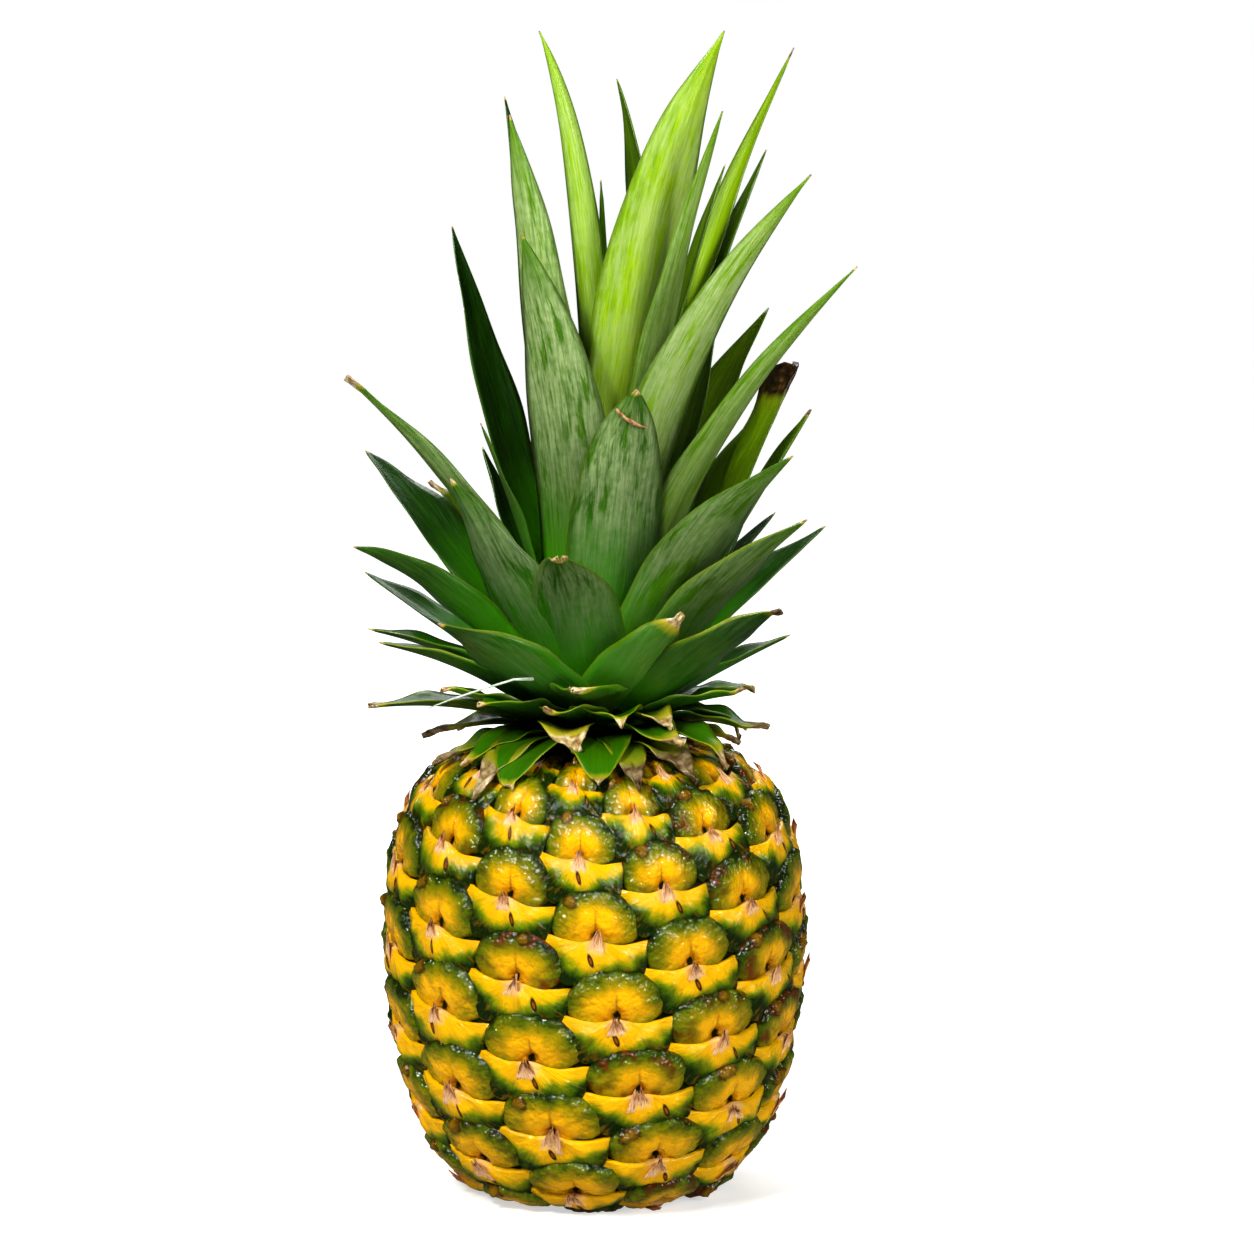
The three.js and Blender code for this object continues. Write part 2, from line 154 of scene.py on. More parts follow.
# %% Camera, floor and light
CAMERA_DISTANCE = 1.2
CAMERA_TILT = math.radians(7)
CAMERA_AIM = (0.0093, 0.0, 0.161)
LENS = 121.7
SENSOR = 36

camera_data = bpy.data.cameras.new("camera")
camera_data.lens = LENS
camera_data.sensor_width = SENSOR
camera = bpy.data.objects.new("camera", camera_data)
camera.location = (
    CAMERA_AIM[0],
    CAMERA_AIM[1] - CAMERA_DISTANCE * math.cos(CAMERA_TILT),
    CAMERA_AIM[2] + CAMERA_DISTANCE * math.sin(CAMERA_TILT),
)
camera.rotation_euler = (math.pi / 2 - CAMERA_TILT, 0, 0)
scene.collection.objects.link(camera)
scene.camera = camera

FLOOR_HALF = 6.0
floor_mesh = bpy.data.meshes.new("floor")
floor_corners = [(x * FLOOR_HALF, y * FLOOR_HALF, 0) for x, y in ((-1, -1), (1, -1), (1, 1), (-1, 1))]
floor_mesh.from_pydata(floor_corners, [], [(0, 1, 2, 3)])
floor = bpy.data.objects.new("floor", floor_mesh)
scene.collection.objects.link(floor)

# Matt white paper: it glows for the camera, so that no shadow greys it, and is nearly black in
# mirror reflections, as if dark flags stood round the fruit.
PAPER_GLOW = 0.95
PAPER_GLOW_NEAR = 0.6
PAPER_GLOW_IN_LIGHT = 0.12
PAPER_GLOW_IN_MIRRORS = 0.08
pale_paper, paper_shader, node = new_material("pale paper", {
    "Base Color": "#c8c8c8", "Roughness": 0.9, "Emission Color": "#ffffff"})
from_middle = node(VECTOR, node("ShaderNodeTexCoord").outputs["Object"], operation="LENGTH")
glow = node(RANGE, from_middle, 0.1, 0.6, PAPER_GLOW_NEAR, PAPER_GLOW)
rays = node("ShaderNodeLightPath").outputs
glow_share = node(RANGE, rays["Is Camera Ray"], 0.0, 1.0, PAPER_GLOW_IN_LIGHT, 1.0)
dress(paper_shader, {"Emission Strength": node(TIMES, glow, glow_share)})
flagged = node("ShaderNodeEmission", {"Strength": PAPER_GLOW_IN_MIRRORS})
paper_end = node("ShaderNodeMixShader", rays["Is Glossy Ray"], paper_shader, flagged)
fill(pale_paper.node_tree.nodes["Material Output"].inputs["Surface"], paper_end)
floor_mesh.materials.append(pale_paper)

# Each lamp: place, size and power. They all aim at the fruit's middle.
LAMPS = {
    "key": ((-0.75, -1.0, 1.3), 0.4, 26),
    "fill": ((1.15, -0.9, 0.75), 0.5, 12),
    "back": ((0.1, 0.9, 1.1), 0.9, 12),
    "left glint": ((-0.55, -1.0, 0.95), 0.06, 4.2),
    "right glint": ((0.5, -1.1, 0.85), 0.05, 2.2),
}
for lamp_name, (place, size, power) in LAMPS.items():
    lamp_data = bpy.data.lights.new(lamp_name, "AREA")
    lamp_data.size = size
    lamp_data.energy = power
    lamp = bpy.data.objects.new(lamp_name, lamp_data)
    lamp.location = place
    away = np.array(place) - CAMERA_AIM
    lamp.rotation_euler = (
        math.atan2(math.hypot(away[0], away[1]), away[2]),
        0,
        math.atan2(away[0], -away[1]),
    )
    scene.collection.objects.link(lamp)

world = bpy.data.worlds.new("studio")
world.use_nodes = True
SHOWN_WORLD = 1.0
LIGHTING_WORLD = 0.07
MIRRORED_WORLD = 0.3
node = partial(add, world.node_tree)
rays = node("ShaderNodeLightPath").outputs
strength = node(RANGE, rays["Is Camera Ray"], 0.0, 1.0, LIGHTING_WORLD, SHOWN_WORLD)
unflagged = node(RANGE, rays["Is Glossy Ray"], 0.0, 1.0, 1.0, MIRRORED_WORLD)
strength = node(TIMES, strength, unflagged)
dress(world.node_tree.nodes["Background"], {"Color": (1, 1, 1, 1), "Strength": strength})
scene.world = world
scene.view_settings.view_transform = "Standard"
scene.view_settings.gamma = 0.85
print("camera at", [round(v, 3) for v in camera.location])

# %% [markdown]
# The fruit's body is a barrel. Its side is drawn once, as a line from the foot to the top, and
# everything on the fruit is later rolled onto that line: a place on it is an azimuth and a length
# along the line. The line also runs a little way onto the two flat ends.

# %% The barrel's line
FRUIT_HEIGHT = 127
BELLY_RADIUS = 60
BELLY_HEIGHT = 72
FOOT_RADIUS = 29
TOP_RADIUS = 24
LOWER_ROUNDNESS = 2
UPPER_ROUNDNESS = 2.6
PROFILE_STEPS = 120
END_DISC = 14


def barrel_line():
    """Radius and height from foot to top, and the line's length from its start to the belly."""
    turn = np.linspace(-1, 1, 2 * PROFILE_STEPS + 1)
    below = turn < 0
    power = np.where(below, 2 / LOWER_ROUNDNESS, 2 / UPPER_ROUNDNESS)
    end = np.where(below, FOOT_RADIUS, TOP_RADIUS)
    rise = np.where(below, -BELLY_HEIGHT, FRUIT_HEIGHT - BELLY_HEIGHT)
    angle = np.abs(turn) * math.pi / 2
    radius = end + (BELLY_RADIUS - end) * np.maximum(0, np.cos(angle)) ** power
    height = BELLY_HEIGHT + rise * np.sin(angle) ** power
    side = np.column_stack([radius, height])
    foot = [[FOOT_RADIUS - END_DISC, 0]]
    top = [[TOP_RADIUS - END_DISC, FRUIT_HEIGHT]]
    line = np.vstack([foot, side, top])
    lengths = np.concatenate([[0], np.cumsum(np.hypot(*np.diff(line, axis=0).T))])
    return line, lengths[PROFILE_STEPS + 1], lengths[-1]


barrel, belly_length, barrel_length = barrel_line()
line_data = bpy.data.curves.new("barrel_line", "CURVE")
line_data.dimensions = "3D"
spline = line_data.splines.new("POLY")
spline.points.add(len(barrel) - 1)
for point, (radius, height) in zip(spline.points, barrel * MM):
    point.co = (radius, 0, height, 1)
barrel_object = bpy.data.objects.new("barrel_line", line_data)
scene.collection.objects.link(barrel_object)
print(f"side of the barrel: {barrel_length - 2 * END_DISC:.1f} mm from rim to rim")

# %% [markdown]
# A pineapple is a collective fruit: about a hundred fruitlets grow one after the other, each turned
# by nearly the same angle from the last and a little higher. That single rule gives the 8 rows that
# rise to one side and the 5 that fall to the other. A Geometry Nodes tree follows it, because the
# count, the angle and the rise then stay three numbers that can be changed.
# The fruitlets are first laid out flat, where each one is easy to model, and then rolled onto the
# barrel. This group does the rolling. Real fruit is a little uneven, so the rows also sag towards
# the front and bunch together there.

# %% Rolling a flat sheet onto the barrel
FRONT_DROP = 9.7
RIGHT_DROP = 2
BUNCHING = 0.1
BUNCHING_GROWTH = 0.31
STRETCH = 6.2
STRETCH_RIGHT = 1.7
STRETCH_SPAN = 60


def new_tree(name, kinds):
    """A Geometry Nodes tree, its inputs' identifiers, add() with this tree, and the input sockets."""
    tree = bpy.data.node_groups.new(name, "GeometryNodeTree")
    ids = {}
    for key, kind in kinds.items():
        item = tree.interface.new_socket(key, in_out="INPUT", socket_type="NodeSocket" + kind)
        ids[key] = item.identifier
    tree.interface.new_socket("Geometry", in_out="OUTPUT", socket_type="NodeSocketGeometry")
    node = partial(add, tree)
    return tree, ids, node, node("NodeGroupInput").outputs


def roll_group():
    """Geometry Nodes group: x is azimuth times belly radius, y is length from the belly, z relief."""
    tree, _, node, given = new_tree("roll onto the barrel", {"Geometry": "Geometry", "Line": "Object"})
    place = node(SPLIT, node("GeometryNodeInputPosition"))
    x, y, relief = place.outputs

    flat_turn = node(MATH, x, BELLY_RADIUS * MM, operation="DIVIDE")
    side = node(MATH, flat_turn, operation="SINE")
    front = node(MATH, flat_turn, operation="COSINE")
    share = node(MATH, y, STRETCH_SPAN * MM, operation="DIVIDE")

    pull = node(TIMES_PLUS, share, BUNCHING_GROWTH, BUNCHING)
    pulled = node(TIMES, side, pull)
    turn = node(MINUS, flat_turn, pulled)

    sag = node(TIMES_PLUS, front, -FRONT_DROP * MM, FRONT_DROP * MM)
    lean = node(TIMES_PLUS, side, -RIGHT_DROP * MM, sag)
    spread = node(TIMES_PLUS, side, -STRETCH_RIGHT * MM, STRETCH * MM)
    stretched = node(TIMES_PLUS, share, spread, y)
    arc = node(PLUS, stretched, lean)
    length = node(PLUS, arc, belly_length * MM)

    line = node("GeometryNodeObjectInfo", {"Object": given["Line"]})
    sample = node("GeometryNodeSampleCurve", {"Curves": line.outputs["Geometry"], "Length": length},
                  mode="LENGTH")
    on_line = node(SPLIT, sample.outputs["Position"])
    tangent = node(SPLIT, sample.outputs["Tangent"])
    out = node(TIMES_PLUS, relief, tangent.outputs["Z"], on_line.outputs["X"])
    fall = node(TIMES, relief, tangent.outputs["X"])
    lift = node(MINUS, on_line.outputs["Z"], fall)
    height = node(MATH, lift, 0.0, operation="MAXIMUM")

    sine = node(MATH, turn, operation="SINE")
    cosine = node(MATH, turn, operation="COSINE")
    right = node(TIMES, out, sine)
    back = node(TIMES, out, cosine)
    towards = node(TIMES, back, -1.0)
    rolled = node(JOIN, right, towards, height)
    moved = node("GeometryNodeSetPosition", {"Geometry": given["Geometry"], "Position": rolled})
    node("NodeGroupOutput", {"Geometry": moved})
    return tree


roll = roll_group()
print("roll group:", len(roll.nodes), "nodes")

# %% [markdown]
# This tree lays out the fruitlets. Each one is a copy of one of a few models, picked at random but
# with a fixed seed, and it keeps one random number of its own, its ripeness. The dome, the bract and
# the dry tip of a fruitlet are laid out by three runs of the same tree with the same seed, so the
# three parts of a fruitlet agree.

# %% Laying out the fruitlets
DIVERGENCE = math.radians(138.0125)
FIRST_AZIMUTH = math.radians(0.9)
FIRST_ARC = 10.45
RISE_PER_FRUITLET = 1.55
LOWEST_FRUITLET = -62
FRUITLETS = 106
FRUITLET_SCALE = (1.17, 0.92, 1.0)
LOW_GROWTH_SPAN = (10, -55)
SEED = 11


def rows_tree():
    """Geometry Nodes tree that places the fruitlets along their spiral and rolls them up."""
    tree, ids, node, given = new_tree("fruitlet rows", {
        "Geometry": "Geometry", "Models": "Collection", "Model Count": "Int", "Line": "Object",
        "Fruitlets": "Int", "Divergence": "Float", "Rise": "Float", "Low Growth": "Float",
        "Seed": "Int", "Material": "Material"})

    index = node("GeometryNodeInputIndex")
    number = node(PLUS, index, LOWEST_FRUITLET)
    azimuth = node(TIMES_PLUS, number, given["Divergence"], FIRST_AZIMUTH)
    wrapped = node(MATH, azimuth, 2 * math.pi, operation="FLOORED_MODULO")
    x = node(TIMES, wrapped, BELLY_RADIUS * MM)
    y = node(TIMES_PLUS, number, given["Rise"], FIRST_ARC * MM)
    spot = node(JOIN, x, y)
    points = node("GeometryNodePoints", {"Count": given["Fruitlets"], "Position": spot})

    lowness = node(RANGE, y, LOW_GROWTH_SPAN[0] * MM, LOW_GROWTH_SPAN[1] * MM)
    growth = node(TIMES_PLUS, lowness, given["Low Growth"], 1.0)
    wide = node(TIMES, growth, FRUITLET_SCALE[0])
    tall = node(TIMES, growth, FRUITLET_SCALE[1])
    size = node(JOIN, wide, tall, FRUITLET_SCALE[2])
    models = node("GeometryNodeCollectionInfo",
                  {"Collection": given["Models"], "Separate Children": True, "Reset Children": True})
    last = node(MINUS, given["Model Count"], 1.0)
    pick = node("FunctionNodeRandomValue", {"Min": 0, "Max": last, "ID": index, "Seed": given["Seed"]},
                data_type="INT")
    placed = node("GeometryNodeInstanceOnPoints",
                  {"Points": points, "Instance": models, "Pick Instance": True, "Instance Index": pick,
                   "Scale": size})
    ripeness = node("FunctionNodeRandomValue", {"ID": index, "Seed": given["Seed"]}, data_type="FLOAT")
    marked = node("GeometryNodeStoreNamedAttribute",
                  {"Geometry": placed, "Name": "ripeness", "Value": ripeness}, data_type="FLOAT",
                  domain="INSTANCE")
    real = node("GeometryNodeRealizeInstances", {"Geometry": marked})
    rolled = node("GeometryNodeGroup", {"Geometry": real, "Line": given["Line"]}, node_tree=roll)
    finished = node("GeometryNodeSetMaterial", {"Geometry": rolled, "Material": given["Material"]})
    node("NodeGroupOutput", {"Geometry": finished})
    return tree, ids


def run_through(piece, tree, ids, values):
    """Runs a piece through a tree with named values, and keeps the result as a plain smooth mesh."""
    modifier = piece.modifiers.new("rows", "NODES")
    modifier.node_group = tree
    for key, value in values.items():
        modifier[ids[key]] = value
    graph = bpy.context.evaluated_depsgraph_get()
    mesh = bpy.data.meshes.new_from_object(piece.evaluated_get(graph))
    piece.modifiers.clear()
    piece.data = mesh
    mesh.shade_smooth()
    mesh.calc_loop_triangles()
    print(piece.name, len(mesh.loop_triangles), "triangles")
    return piece


rows, row_ids = rows_tree()


def laid_out(name, models, material, low_growth=0.0):
    """A plain mesh piece of all copies of the models, placed by the rows tree."""
    shelf = bpy.data.collections.new(name + "_models")
    for model in models:
        scene.collection.objects.unlink(model)
        shelf.objects.link(model)
    return run_through(mesh_object(name, [(0, 0, 0)], [], {}), rows, row_ids, {
        "Models": shelf, "Model Count": len(models), "Line": barrel_object,
        "Fruitlets": FRUITLETS, "Divergence": DIVERGENCE, "Rise": RISE_PER_FRUITLET * MM,
        "Low Growth": low_growth, "Seed": SEED, "Material": material})


# %% [markdown]
# The dome is the fruitlet's swollen, half-moon top: a puffed rim, two soft cheeks that sink to a pit
# where the flower was, and a crease above the pit. It is a round grid of points whose outline is a
# half moon, raised by a formula, which gives smooth curves with few faces. Each model gets its own
# folds, and some get a blister on the rim, as sun and juice leave them. Its numbers are millimetres
# on the real fruitlet, apart from shares and turns.

# %% Dome of a fruitlet
DOME_HALF_WIDTH = 13.1
DOME_TOP = 13.2
DOME_BOTTOM = -3.4
DOME_MIDDLE = 3.4
DOME_RINGS = [0, 0.13, 0.25, 0.36, 0.46, 0.55, 0.63, 0.7, 0.76, 0.815, 0.865, 0.905, 0.94, 0.968, 0.988, 1]
DOME_SECTORS = 58
DOME_SEED = 100
MODEL_COUNT = 7
# Depth or height, and radius, of the pit, of the wide hollow round it and of the two cheeks
PIT = (1.2, 1.7)
HOLLOW = (0.8, 5.5)
CHEEK = (0.7, 3.2)
CHEEK_PLACE = (4.2, 2.8)
CREASE_DEPTH = 0.5
CREASE_HALF_WIDTH = 0.55
BLISTERS = (1, 2, 1, 0, 2, 0, 1)
BLISTER_TURNS = (math.radians(40), math.radians(155))
BLISTER_REACH = 0.78
BLISTER_RADII = (1.5, 2.3)
BLISTER_HEIGHT = 1.0
BLISTER_DENT = 0.35
RIM_ROLL = 0.2
GROOVE = -2.7


def grid_faces(rows, columns):
    """Faces between the points of a grid, row by row."""
    return [[low, low + 1, low + columns + 1, low + columns]
            for row in range(rows - 1) for low in range(row * columns, row * columns + columns - 1)]


def round_grid(rings, sectors):
    """Faces of a round grid whose first point is the middle."""
    faces = [[0, 1 + k, 1 + (k + 1) % sectors] for k in range(sectors)]
    for ring in range(rings - 2):
        low = 1 + ring * sectors
        for k in range(sectors):
            step = (k + 1) % sectors
            faces.append([low + k, low + k + sectors, low + step + sectors, low + step])
    return faces


def dome_outline(angle, folds):
    """Distance from the dome's middle to its rim, in millimetres."""
    up = np.sin(angle) > 0
    reach = np.where(up, DOME_TOP - DOME_MIDDLE, DOME_MIDDLE - DOME_BOTTOM)
    power = np.where(up, 2.15, 2.7)
    width = np.abs(np.cos(angle)) / DOME_HALF_WIDTH
    rise = np.abs(np.sin(angle)) / reach
    wave = 1 + 0.018 * np.cos(5 * angle + folds[0]) + 0.012 * np.cos(12 * angle + folds[1])
    return wave / (width ** power + rise ** power) ** (1 / power)


def dome_model(number):
    """A dome, raised by a sum of smooth bumps and dents."""
    draw = np.random.default_rng(DOME_SEED + number)
    folds = draw.uniform(0, 2 * math.pi, 6)
    angle = np.linspace(0, 2 * math.pi, DOME_SECTORS, endpoint=False)
    edge = np.concatenate([[0], np.repeat(DOME_RINGS[1:], DOME_SECTORS)])
    turn = np.concatenate([[0], np.tile(angle, len(DOME_RINGS) - 1)])
    reach = edge * dome_outline(turn, folds)
    x = reach * np.cos(turn)
    y = DOME_MIDDLE + reach * np.sin(turn)

    crest = -1.35 + 2.0 * smooth(-3, 8, y) - 0.25 * smooth(5, 12, np.abs(x))
    pit = PIT[0] * np.exp(-(x ** 2 + (y - 0.2) ** 2) / PIT[1] ** 2)
    pit = pit + HOLLOW[0] * np.exp(-(x ** 2 + y ** 2) / HOLLOW[1] ** 2)
    wander = 0.5 * np.sin(0.6 * y + folds[2])
    crease = CREASE_DEPTH * np.exp(-((x - wander) / CREASE_HALF_WIDTH) ** 2)
    crease = crease * smooth(-0.5, 1, y) * (1 - smooth(6, 9, y))
    off_cheek = (np.abs(x) - CHEEK_PLACE[0]) ** 2 + (y - CHEEK_PLACE[1]) ** 2
    cheeks = CHEEK[0] * np.exp(-off_cheek / CHEEK[1] ** 2)
    ripples = smooth(0.4, 0.85, edge) * (
        0.26 * np.cos(7 * turn + folds[3]) + 0.2 * np.cos(13 * turn + 9 * edge + folds[4])
        + 0.13 * np.cos(19 * turn - 14 * edge + folds[5])
    )
    height = crest - pit - crease + cheeks + ripples
    blister = np.zeros_like(x)
    for _ in range(BLISTERS[number]):
        at = draw.uniform(*BLISTER_TURNS)
        out = BLISTER_REACH * dome_outline(np.array(at), folds)
        size = draw.uniform(*BLISTER_RADII)
        away = np.hypot(x - out * math.cos(at), y - DOME_MIDDLE - out * math.sin(at)) / size
        blister = np.maximum(blister, 1 - smooth(0.75, 1.1, away))
        swollen = BLISTER_HEIGHT * np.sqrt(np.clip(1 - away ** 2, 0, 1))
        height += swollen - BLISTER_DENT * np.exp(-((away - 1.1) / 0.2) ** 2)
    roll_off = 1 - np.sqrt(1 - np.clip((edge - 0.8) / RIM_ROLL, 0, 1) ** 2)
    height += (GROOVE - 0.6 - height) * roll_off
    values = {"cell": np.column_stack([x, y, edge]), "blister": blister}
    return mesh_object(f"dome_{number}", np.column_stack([x, y, height]),
                       round_grid(len(DOME_RINGS), DOME_SECTORS), values)


domes = [dome_model(k) for k in range(MODEL_COUNT)]
print(len(domes), "dome models of", len(domes[0].data.polygons), "faces")

# %% [markdown]
# Below each dome lies the bract, the leaf that once held the flower: a yellow star with two long
# wings under the dome's corners and two lobes that reach down between the next domes. It is a sheet
# between two outlines, the edge under the dome and the edge over the groove, so its points run along
# its real edges. It is keeled in the middle, folded out from its tip, and its rim rolls down.

# %% Bract of a fruitlet
BRACT_UPPER = [(-15.8, 0.5), (-12.4, -0.4), (-8, -1.3), (-4.2, -1.7), (-2, -1.3), (0, -0.6),
               (2, -1.3), (4.2, -1.9), (7, -2.2), (11.6, -1.5), (14.8, -1.0)]
BRACT_LOWER = [(-16.2, -0.2), (-13.4, -2.4), (-10.8, -5.0), (-9.4, -9.2), (-8.8, -13), (-6.6, -13.6),
               (-3, -12.2), (2, -11.2), (7, -11), (10.6, -12.6), (12.6, -9), (13.2, -3.8), (15.2, -1.5)]
BRACT_COLUMNS = 46
BRACT_ROWS = [-0.03, 0, 0.06, 0.15, 0.27, 0.4, 0.53, 0.65, 0.75, 0.83, 0.89, 0.94, 0.97, 1]
BRACT_EDGE_DROP = 1.5
BRACT_RIM_DROP = 1.6
BRACT_LEVEL = -0.75
KEEL_HEIGHT = 0.7
KEEL_HALF_WIDTH = 3.5
PLEAT_HEIGHT = 0.85
BRACT_SEED = 200
BRACT_GROWTH = (1.1, 1.06)


def along_points(corners, count):
    """Evenly spaced points along a smoothed line through the corners."""
    corners = np.array(corners, float)
    lengths = np.concatenate([[0], np.cumsum(np.hypot(*np.diff(corners, axis=0).T))])
    at = np.linspace(0, lengths[-1], count)
    line = np.column_stack([np.interp(at, lengths, corners[:, k]) for k in (0, 1)])
    for _ in range(2):
        line[1:-1] = (line[:-2] + 2 * line[1:-1] + line[2:]) / 4
    return line


def bract_model(number):
    """A bract, whose points carry x, y and how far inside its lower edge they lie."""
    draw = np.random.default_rng(BRACT_SEED + number)
    folds = draw.uniform(0, 2 * math.pi, 5)
    upper = along_points(BRACT_UPPER, BRACT_COLUMNS)
    lower = along_points(BRACT_LOWER, BRACT_COLUMNS)
    down = np.repeat(BRACT_ROWS, BRACT_COLUMNS)
    upper_points = np.tile(upper, (len(BRACT_ROWS), 1))
    lower_points = np.tile(lower, (len(BRACT_ROWS), 1))
    flat = upper_points + (lower_points - upper_points) * np.clip(down, 0, 1)[:, None]
    flat = flat * BRACT_GROWTH
    x, y = flat.T
    inside = np.hypot(*(flat[:, None] - lower * BRACT_GROWTH).T).min(axis=0)
    wing = smooth(8, 15, np.abs(x))
    keel = np.exp(-(x / KEEL_HALF_WIDTH) ** 2) * smooth(-14, -2, y)
    fan = np.arctan2(x, -(y - 1))
    out = np.hypot(x, y - 1)
    pleats = smooth(1.5, 7, out) * (PLEAT_HEIGHT * (1 - np.abs(np.sin(2.3 * fan + 0.4 * folds[0]))) ** 1.3
                                    + 0.16 * np.cos(11 * fan + folds[1]))
    height = (BRACT_LEVEL + KEEL_HEIGHT * keel + 0.35 * smooth(0, 0.4, down) - 0.45 * wing
              - 0.7 * smooth(13, 17, np.abs(x)) - 0.5 * smooth(-8, -13, y))
    height -= 0.75 * smooth(4.0, 0.8, inside) - 0.25 * np.exp(-((inside - 0.7) / 0.4) ** 2)
    height += pleats * (1 - wing) + 0.12 * np.cos(1.1 * x + folds[2]) * np.cos(0.9 * y + folds[3])
    height -= BRACT_RIM_DROP * (down >= 1)
    height -= BRACT_EDGE_DROP * (down < 0)
    faces = [face[:1] + face[:0:-1] for face in grid_faces(len(BRACT_ROWS), BRACT_COLUMNS)]
    values = {"cell": np.column_stack([x, y, inside])}
    return mesh_object(f"bract_{number}", np.column_stack([x, y, height]), faces, values)


bracts = [bract_model(k) for k in range(MODEL_COUNT)]
print(len(bracts), "bract models of", len(bracts[0].data.polygons), "faces")

# %% [markdown]
# The bract ends in a dry, papery tip that stands over the pit. It has lost its colour and is torn,
# so it is a thin sheet of its own with a ragged end, curled away from the fruit.

# %% Dry tip of a bract
TIP_COLUMNS = 9
TIP_ROWS = 8
TIP_THICKNESS = 0.16
TIP_SEED = 300
TIP_ROOT = -5.2
TIP_LENGTHS = (4.4, 6.4)
TIP_HALF_WIDTHS = (2.2, 3.1)
TIP_NARROWING = 0.72
TIP_RAGS = (0.75, 1.25)
TIP_CURLS = (0.9, 1.7)
TIP_SINK = 1.2


def tip_model(number):
    """A torn sheet, from the bract's point (t = 0) to its free end (t = 1), as a closed shell."""
    draw = np.random.default_rng(TIP_SEED + number)
    s = np.tile(np.linspace(-1, 1, TIP_COLUMNS), TIP_ROWS)
    t = np.repeat(np.linspace(0, 1, TIP_ROWS), TIP_COLUMNS)
    rag = np.tile(draw.uniform(*TIP_RAGS, TIP_COLUMNS), TIP_ROWS)
    length = draw.uniform(*TIP_LENGTHS)
    half = draw.uniform(*TIP_HALF_WIDTHS) * (1 - TIP_NARROWING * t ** 1.3)
    lean = draw.uniform(-0.5, 0.5)
    x = s * half + lean * t ** 2 * 2
    y = TIP_ROOT + length * t * np.where(t > 0.5, rag, 1)
    curl = draw.uniform(*TIP_CURLS)
    height = 0.05 + curl * t ** 1.6 + 0.35 * np.abs(s) ** 1.5 * (1 - t) - 0.3 * (1 - np.abs(s)) * t
    height += 0.14 * np.cos(3 * math.pi * s + number)
    height = np.where(t == 0, height - TIP_SINK, height)
    front = np.column_stack([x, y, height])
    back = front - [0, 0, TIP_THICKNESS]
    count = len(front)
    faces = []
    for face in grid_faces(TIP_ROWS, TIP_COLUMNS):
        faces += [face, [corner + count for corner in reversed(face)]]
    rim = list(range(TIP_COLUMNS))
    rim += [TIP_COLUMNS * row + TIP_COLUMNS - 1 for row in range(1, TIP_ROWS)]
    rim += [TIP_COLUMNS * (TIP_ROWS - 1) + k for k in range(TIP_COLUMNS - 2, -1, -1)]
    rim += [TIP_COLUMNS * row for row in range(TIP_ROWS - 2, 0, -1)]
    for here, there in zip(rim, rim[1:] + rim[:1]):
        faces.append([there, here, here + count, there + count])
    values = {"cell": np.column_stack([np.tile(s, 2), np.tile(t, 2), np.tile(t, 2)])}
    return mesh_object(f"tip_{number}", np.vstack([front, back]), faces, values)


tips = [tip_model(k) for k in range(MODEL_COUNT)]
print(len(tips), "tip models of", len(tips[0].data.polygons), "faces")

# %% [markdown]
# The skin of a ripe fruit is waxy and was wet when it was photographed, so it is smooth, with a thin
# glossy coat over it. Its colour follows the fruitlet: gold in the middle, olive and then dark green
# towards the rim. The darkest green, where rims and bract hems meet the grooves and in the grooves
# themselves, is partly the rind's own colour and partly painted shade. The models carry their own flat
# coordinates in millimetres in "cell", so the pattern stays on each fruitlet wherever it lies, and
# "ripeness" makes no two alike.

# %% Fruit skin materials


def skin_material(name, coat):
    """A waxy skin and the values stored on the fruitlets: x, y, distance to the edge, own number."""
    material, shader, node = new_material(name, {
        "Roughness": 0.34, "IOR": 1.42, "Specular IOR Level": 0.1,
        "Coat Weight": coat, "Coat IOR": 1.5, "Coat Roughness": 0.02})
    cell = node(STORED, attribute_name="cell")
    own = node(STORED, attribute_name="ripeness").outputs["Fac"]
    x, y, edge = node(SPLIT, cell.outputs["Vector"]).outputs
    place = node("ShaderNodeTexCoord").outputs["Object"]
    return material, shader, node, (x, y, edge, own, place)


def ripening(node, place):
    """The fruit ripens from its foot up, so the colour shifts a little from 20 to 120 mm."""
    return node(RANGE, node(SPLIT, place).outputs[2], 0.02, 0.12, -0.1, 0.07)
